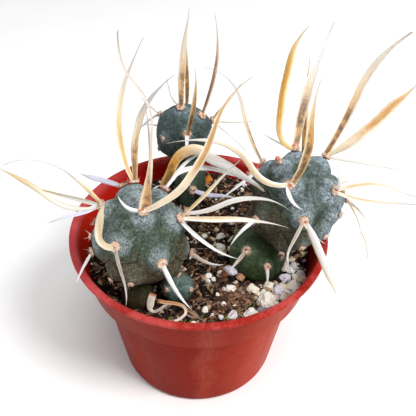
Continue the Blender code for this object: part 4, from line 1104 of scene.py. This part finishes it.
def make_bark(mat):
    x, y, sx, sy, sz, turn = BARK
    v, f = rock(4, (sx, sy, sz), turn, 40)
    v[:, 2] *= 0.8
    v = v + np.array([x, y, soil_height(x, y) + 0.35 * sz])
    tone = np.array([[c * (1 + 0.35 * noise.noise(Vector(p) * 0.9)) for c in srgb(206, 128, 52)[:3]] + [1.0] for p in v])
    ob = mesh_object("bark_chip_rough", v, f, [mat], {"tone": ("FLOAT_COLOR", tone)}, smooth=True, sharp=50)
    piece(ob, "bark_chip")


def wall_limit(x, y, z, r):
    return math.hypot(x, y) + r < inner_radius(z) - 0.3


def clear_of_stems(x, y, r):
    for c, axes, _, _ in (SEGMENTS[k] for k in ("left_stem", "left_offset", "right_base_segment", "back_base_segment")):
        if ((x - c[0]) / (axes[0] + r)) ** 2 + ((y - c[1]) / (axes[1] + r)) ** 2 < 0.92:
            return False
    return True


def make_soil(soil_mat, grain_mat, stone_mat):
    sides, rings = 180, 66
    rng = random.Random(5)
    verts, faces = [], []
    for j in range(1, rings + 1):
        for i in range(sides):
            a = 2 * math.pi * i / sides
            z0 = float(soil_height(44 * math.cos(a), 44 * math.sin(a)))
            rim = inner_radius(z0) - 0.5
            r = rim * j / rings
            x, y = r * math.cos(a), r * math.sin(a)
            z = float(soil_height(x, y))
            z += 1.0 * noise.fractal(Vector((x * 0.35, y * 0.35, 1.7)), 0.7, 2.0, 4) - 0.3
            if j == rings:
                z -= 0.6
            verts.append((x, y, z))
    verts.append((0, 0, float(soil_height(0, 0))))
    centre = len(verts) - 1
    for i in range(sides):
        k = (i + 1) % sides
        faces.append((centre, i, k))
        for j in range(rings - 1):
            a = j * sides
            faces.append((a + i, a + sides + i, a + sides + k, a + k))
    # the hidden sides and bottom of the root ball
    base = len(verts)
    lower = [(COLLAR_BOTTOM - WALL - 1.2, COLLAR_Z + 1.4), (inner_radius(COLLAR_Z) - 0.5, COLLAR_Z + 0.3),
             (inner_radius(FOOT_ROUND + 1.0) - 0.5, FOOT_ROUND + 1.4), (FOOT_R - WALL - 3.2, BASE_T + 0.5)]
    for r, z in lower:
        for i in range(sides):
            a = 2 * math.pi * i / sides
            verts.append((r * math.cos(a), r * math.sin(a), z))
    verts.append((0, 0, BASE_T + 0.5))
    top = (rings - 1) * sides
    for i in range(sides):
        k = (i + 1) % sides
        faces.append((top + i, base + i, base + k, top + k))
        for j in range(len(lower) - 1):
            a = base + j * sides
            faces.append((a + i, a + sides + i, a + sides + k, a + k))
        a = base + (len(lower) - 1) * sides
        faces.append((a + i, len(verts) - 1, a + k))
    piece(mesh_object("potting_mix_ball", verts, faces, [soil_mat], smooth=True), "potting_mix")

    # loose grains: bark crumbs, chips, peat fibres, grit
    browns = [srgb(38, 26, 20), srgb(66, 44, 32), srgb(112, 82, 60), srgb(164, 126, 96), srgb(54, 38, 32), srgb(24, 17, 14),
              srgb(196, 164, 132), srgb(122, 74, 44), srgb(226, 208, 188), srgb(100, 94, 50), srgb(140, 120, 112)]
    weights = [9, 8, 8, 7, 6, 10, 4, 4, 3.5, 2.0, 4.0]
    crumbs = [srgb(150, 110, 84), srgb(128, 88, 66), srgb(170, 130, 102), srgb(92, 60, 46), srgb(112, 76, 58)]
    bits = Bits()
    for n in range(6900):
        patch = n < 1100                   # a patch of light-brown crumbs in front of the low green segment
        if patch:
            x, y = rng.gauss(14.0, 4.2), rng.gauss(-26.5, 2.6)
            size = 0.45 + 0.65 * rng.random()
        else:
            r = 45.0 * math.sqrt(rng.random())
            a = rng.uniform(0, 2 * math.pi)
            x, y = r * math.cos(a), r * math.sin(a)
            size = 0.4 + 1.5 * rng.random() ** 2.6
        z = float(soil_height(x, y))
        if not wall_limit(x, y, z, size) or not clear_of_stems(x, y, size * 0.6):
            continue
        tone = rng.choice(crumbs) if patch else rng.choices(browns, weights)[0]
        if not patch and -10 < x < 14 and y < -33 and rng.random() < 0.22:      # mossy crumbs near the front
            tone = srgb(124, 116, 58)
        jit = rng.uniform(0.55, 1.15)
        tone = tuple(min(1.0, c * jit) for c in tone[:3]) + (1.0,)
        v, f = ICO[1]
        k = 1.0 + np.array([rng.uniform(-0.5, 0.42) for _ in v])
        chip = rng.random() < 0.5
        half = np.array([size * (rng.uniform(1.3, 2.4) if chip else rng.uniform(0.8, 1.4)), size * rng.uniform(0.35, 0.85),
                         size * (rng.uniform(0.2, 0.4) if chip else rng.uniform(0.4, 0.9))])
        rot = np.array(Matrix.Rotation(rng.uniform(0, 6.28), 3, "Z") @ Matrix.Rotation(rng.uniform(-0.8, 0.8), 3, "X")
                       @ Matrix.Rotation(rng.uniform(-0.5, 0.5), 3, "Y"))
        v = (v * k[:, None] * half) @ rot.T + np.array([x, y, z + half[2] * 0.45 + rng.uniform(-0.2, 0.7)])
        bits.add(v, f, 0, tone)
    for _ in range(640):                   # fibres and slivers of bark
        r = 43.0 * math.sqrt(rng.random())
        a = rng.uniform(0, 2 * math.pi)
        x, y = r * math.cos(a), r * math.sin(a)
        z = float(soil_height(x, y))
        if not wall_limit(x, y, z, 3.0) or not clear_of_stems(x, y, 1.5):
            continue
        d = Vector((rng.uniform(-1, 1), rng.uniform(-1, 1), rng.uniform(-0.05, 0.35)))
        hair(bits, Vector((x, y, z + 0.7)), d, rng.uniform(2.0, 6.0), rng.uniform(0.15, 0.6), 0,
             rng.choice([srgb(158, 124, 92), srgb(96, 66, 48), srgb(206, 188, 164), srgb(70, 48, 36), srgb(184, 150, 140)]),
             0.25, rng)
    piece(bits.build("potting_mix_grains", [grain_mat], smooth=False))

    # smaller pumice: placed stones among the ten large ones, then a thin scatter
    bits = Bits()
    placed = [(p[0], p[1], max(p[2], p[3])) for p in PUMICE] + [(BARK[0], BARK[1], 3.5)]
    for i, (x, y, size, tone) in enumerate(PEBBLES):
        size *= 1.25
        placed.append((x, y, size))
        v, f = rock(4 if size > 1.6 else 3, (size * rng.uniform(1.0, 1.25), size, size * rng.uniform(0.8, 0.95)),
                    rng.uniform(0, 180), 300 + i)
        bits.add(v + np.array([x, y, float(soil_height(x, y)) + 0.55 * size + 0.3]), f, 0, srgb(*tone))
    want = [(rng.gauss(33, 6), rng.gauss(-20, 7), 1.0) for _ in range(420)] + \
           [(rng.gauss(33, 7), rng.gauss(-19, 8), 0.4) for _ in range(190)] + \
           [(rng.uniform(-42, 42), rng.uniform(-42, 44), 0.45) for _ in range(230)]
    for x, y, least in want:
        size = least + 0.95 * rng.random() ** 1.5
        z = float(soil_height(x, y))
        if not wall_limit(x, y, z, size) or not clear_of_stems(x, y, size):
            continue
        tight = 0.66 if x > 22 and y < -8 else 0.9        # heaped at the front right
        if any(math.hypot(x - px, y - py) < (pr + size) * tight for px, py, pr in placed):
            continue
        placed.append((x, y, size))
        v, f = rock(2 if size < 0.9 else 3, (size * rng.uniform(0.9, 1.3), size, size * rng.uniform(0.7, 0.9)),
                    rng.uniform(0, 180), 100 + len(placed))
        tone = rng.choice([srgb(252, 247, 236), srgb(240, 226, 204), srgb(232, 226, 232), srgb(254, 252, 248), srgb(214, 190, 160)])
        bits.add(v + np.array([x, y, z + 0.35 * size + 0.3]), f, 0, tone)
    piece(bits.build("pumice_grit", [stone_mat], smooth=True, sharp=60))


def make_fallen(mats, order):
    kinds = {"fallen_spine": "curl", "dry_sheath": "sheath"}
    for name, (path, width, form) in FALLEN.items():
        rng = random.Random(77 + len(name))
        pts = [Vector(p) for p in path]
        fine = []
        for i in range(len(pts) - 1):         # a smooth curve through the points
            p0, p1, p2, p3 = pts[max(i - 1, 0)], pts[i], pts[i + 1], pts[min(i + 2, len(pts) - 1)]
            for k in range(5):
                t = k / 5
                fine.append(0.5 * ((2 * p1) + (p2 - p0) * t + (2 * p0 - 5 * p1 + 4 * p2 - p3) * t * t
                                   + (3 * p1 - p0 - 3 * p2 + p3) * t ** 3))
        fine.append(pts[-1])
        bits = Bits()
        blade(bits, fine, width, Vector((0.1, -0.75, 0.65)), order[kinds[name]], 12.0, rng, form, [0, 10, -10, 15])
        piece(bits.build(name + "_papery", mats, smooth=True, sharp=60), name)


# ---------------------------------------------------------------- stage
def area(name, loc, target, size, power, color=(1, 1, 1)):
    light = bpy.data.lights.new(name, "AREA")
    light.shape = "DISK"
    light.size = size
    light.energy = power
    light.color = color
    ob = bpy.data.objects.new(name, light)
    scene.collection.objects.link(ob)
    ob.location = loc
    ob.rotation_mode = "QUATERNION"
    ob.rotation_quaternion = (Vector(target) - Vector(loc)).to_track_quat("-Z", "Y")
    return ob


def make_stage():
    bpy.ops.mesh.primitive_plane_add(size=6.0, location=(0, 0, 0))
    floor = bpy.context.active_object
    floor.name = "floor"
    s = Shader("floor")
    col = s.mix(s.noise(0.02, 2, 0.5), (0.93, 0.93, 0.93, 1.0), (0.97, 0.97, 0.97, 1.0))
    floor.data.materials.append(s.set(color=col, rough=0.9, spec=0.0))
    world = bpy.data.worlds.new("studio")
    scene.world = world
    world.use_nodes = True
    bg = world.node_tree.nodes["Background"]
    bg.inputs["Color"].default_value = (1.0, 1.0, 1.0, 1.0)
    bg.inputs["Strength"].default_value = 0.45
    area("key", (0.62, -0.42, 1.05), (0.0, 0.0, 0.07), 0.42, 12.5)
    area("top", (0.05, -0.25, 1.25), (0.0, 0.0, 0.06), 0.7, 5.5)
    scene.view_settings.view_transform = "Standard"
    scene.view_settings.look = "None"


# ---------------------------------------------------------------- build
make_camera()
kinds = list(SPINE_KINDS)
wool = tone_material("areole_wool", 0.85, 1.8, 0.0002, sheen=0.15, sss=0.06, contrast=0.4)
spine_mats = [wool] + [spine_material(k) for k in kinds]
order = {k: i + 1 for i, k in enumerate(kinds)}

make_pot(pot_material())
make_segment("left_segment", 230, 150)
make_segment("right_segment", 230, 150)
make_segment("back_segment", 150, 100)
make_segment("left_offset", 90, 60)
make_segment("right_base_segment", 140, 90)
make_segment("back_base_segment", 110, 76)
make_segment("left_stem", 90, 60)
for name in CLUSTERS:
    make_cluster(name, spine_mats, order)
for name in SEGMENTS:
    if name != "left_stem":
        make_tufts(name, [wool])
stone = stone_material()
make_stones(stone)
grain = tone_material("mix_grain", 0.95, 1.4, 0.0003, contrast=0.6)
make_bark(grain)
make_soil(soil_material(), grain, stone)
make_fallen(spine_mats, order)
make_stage()
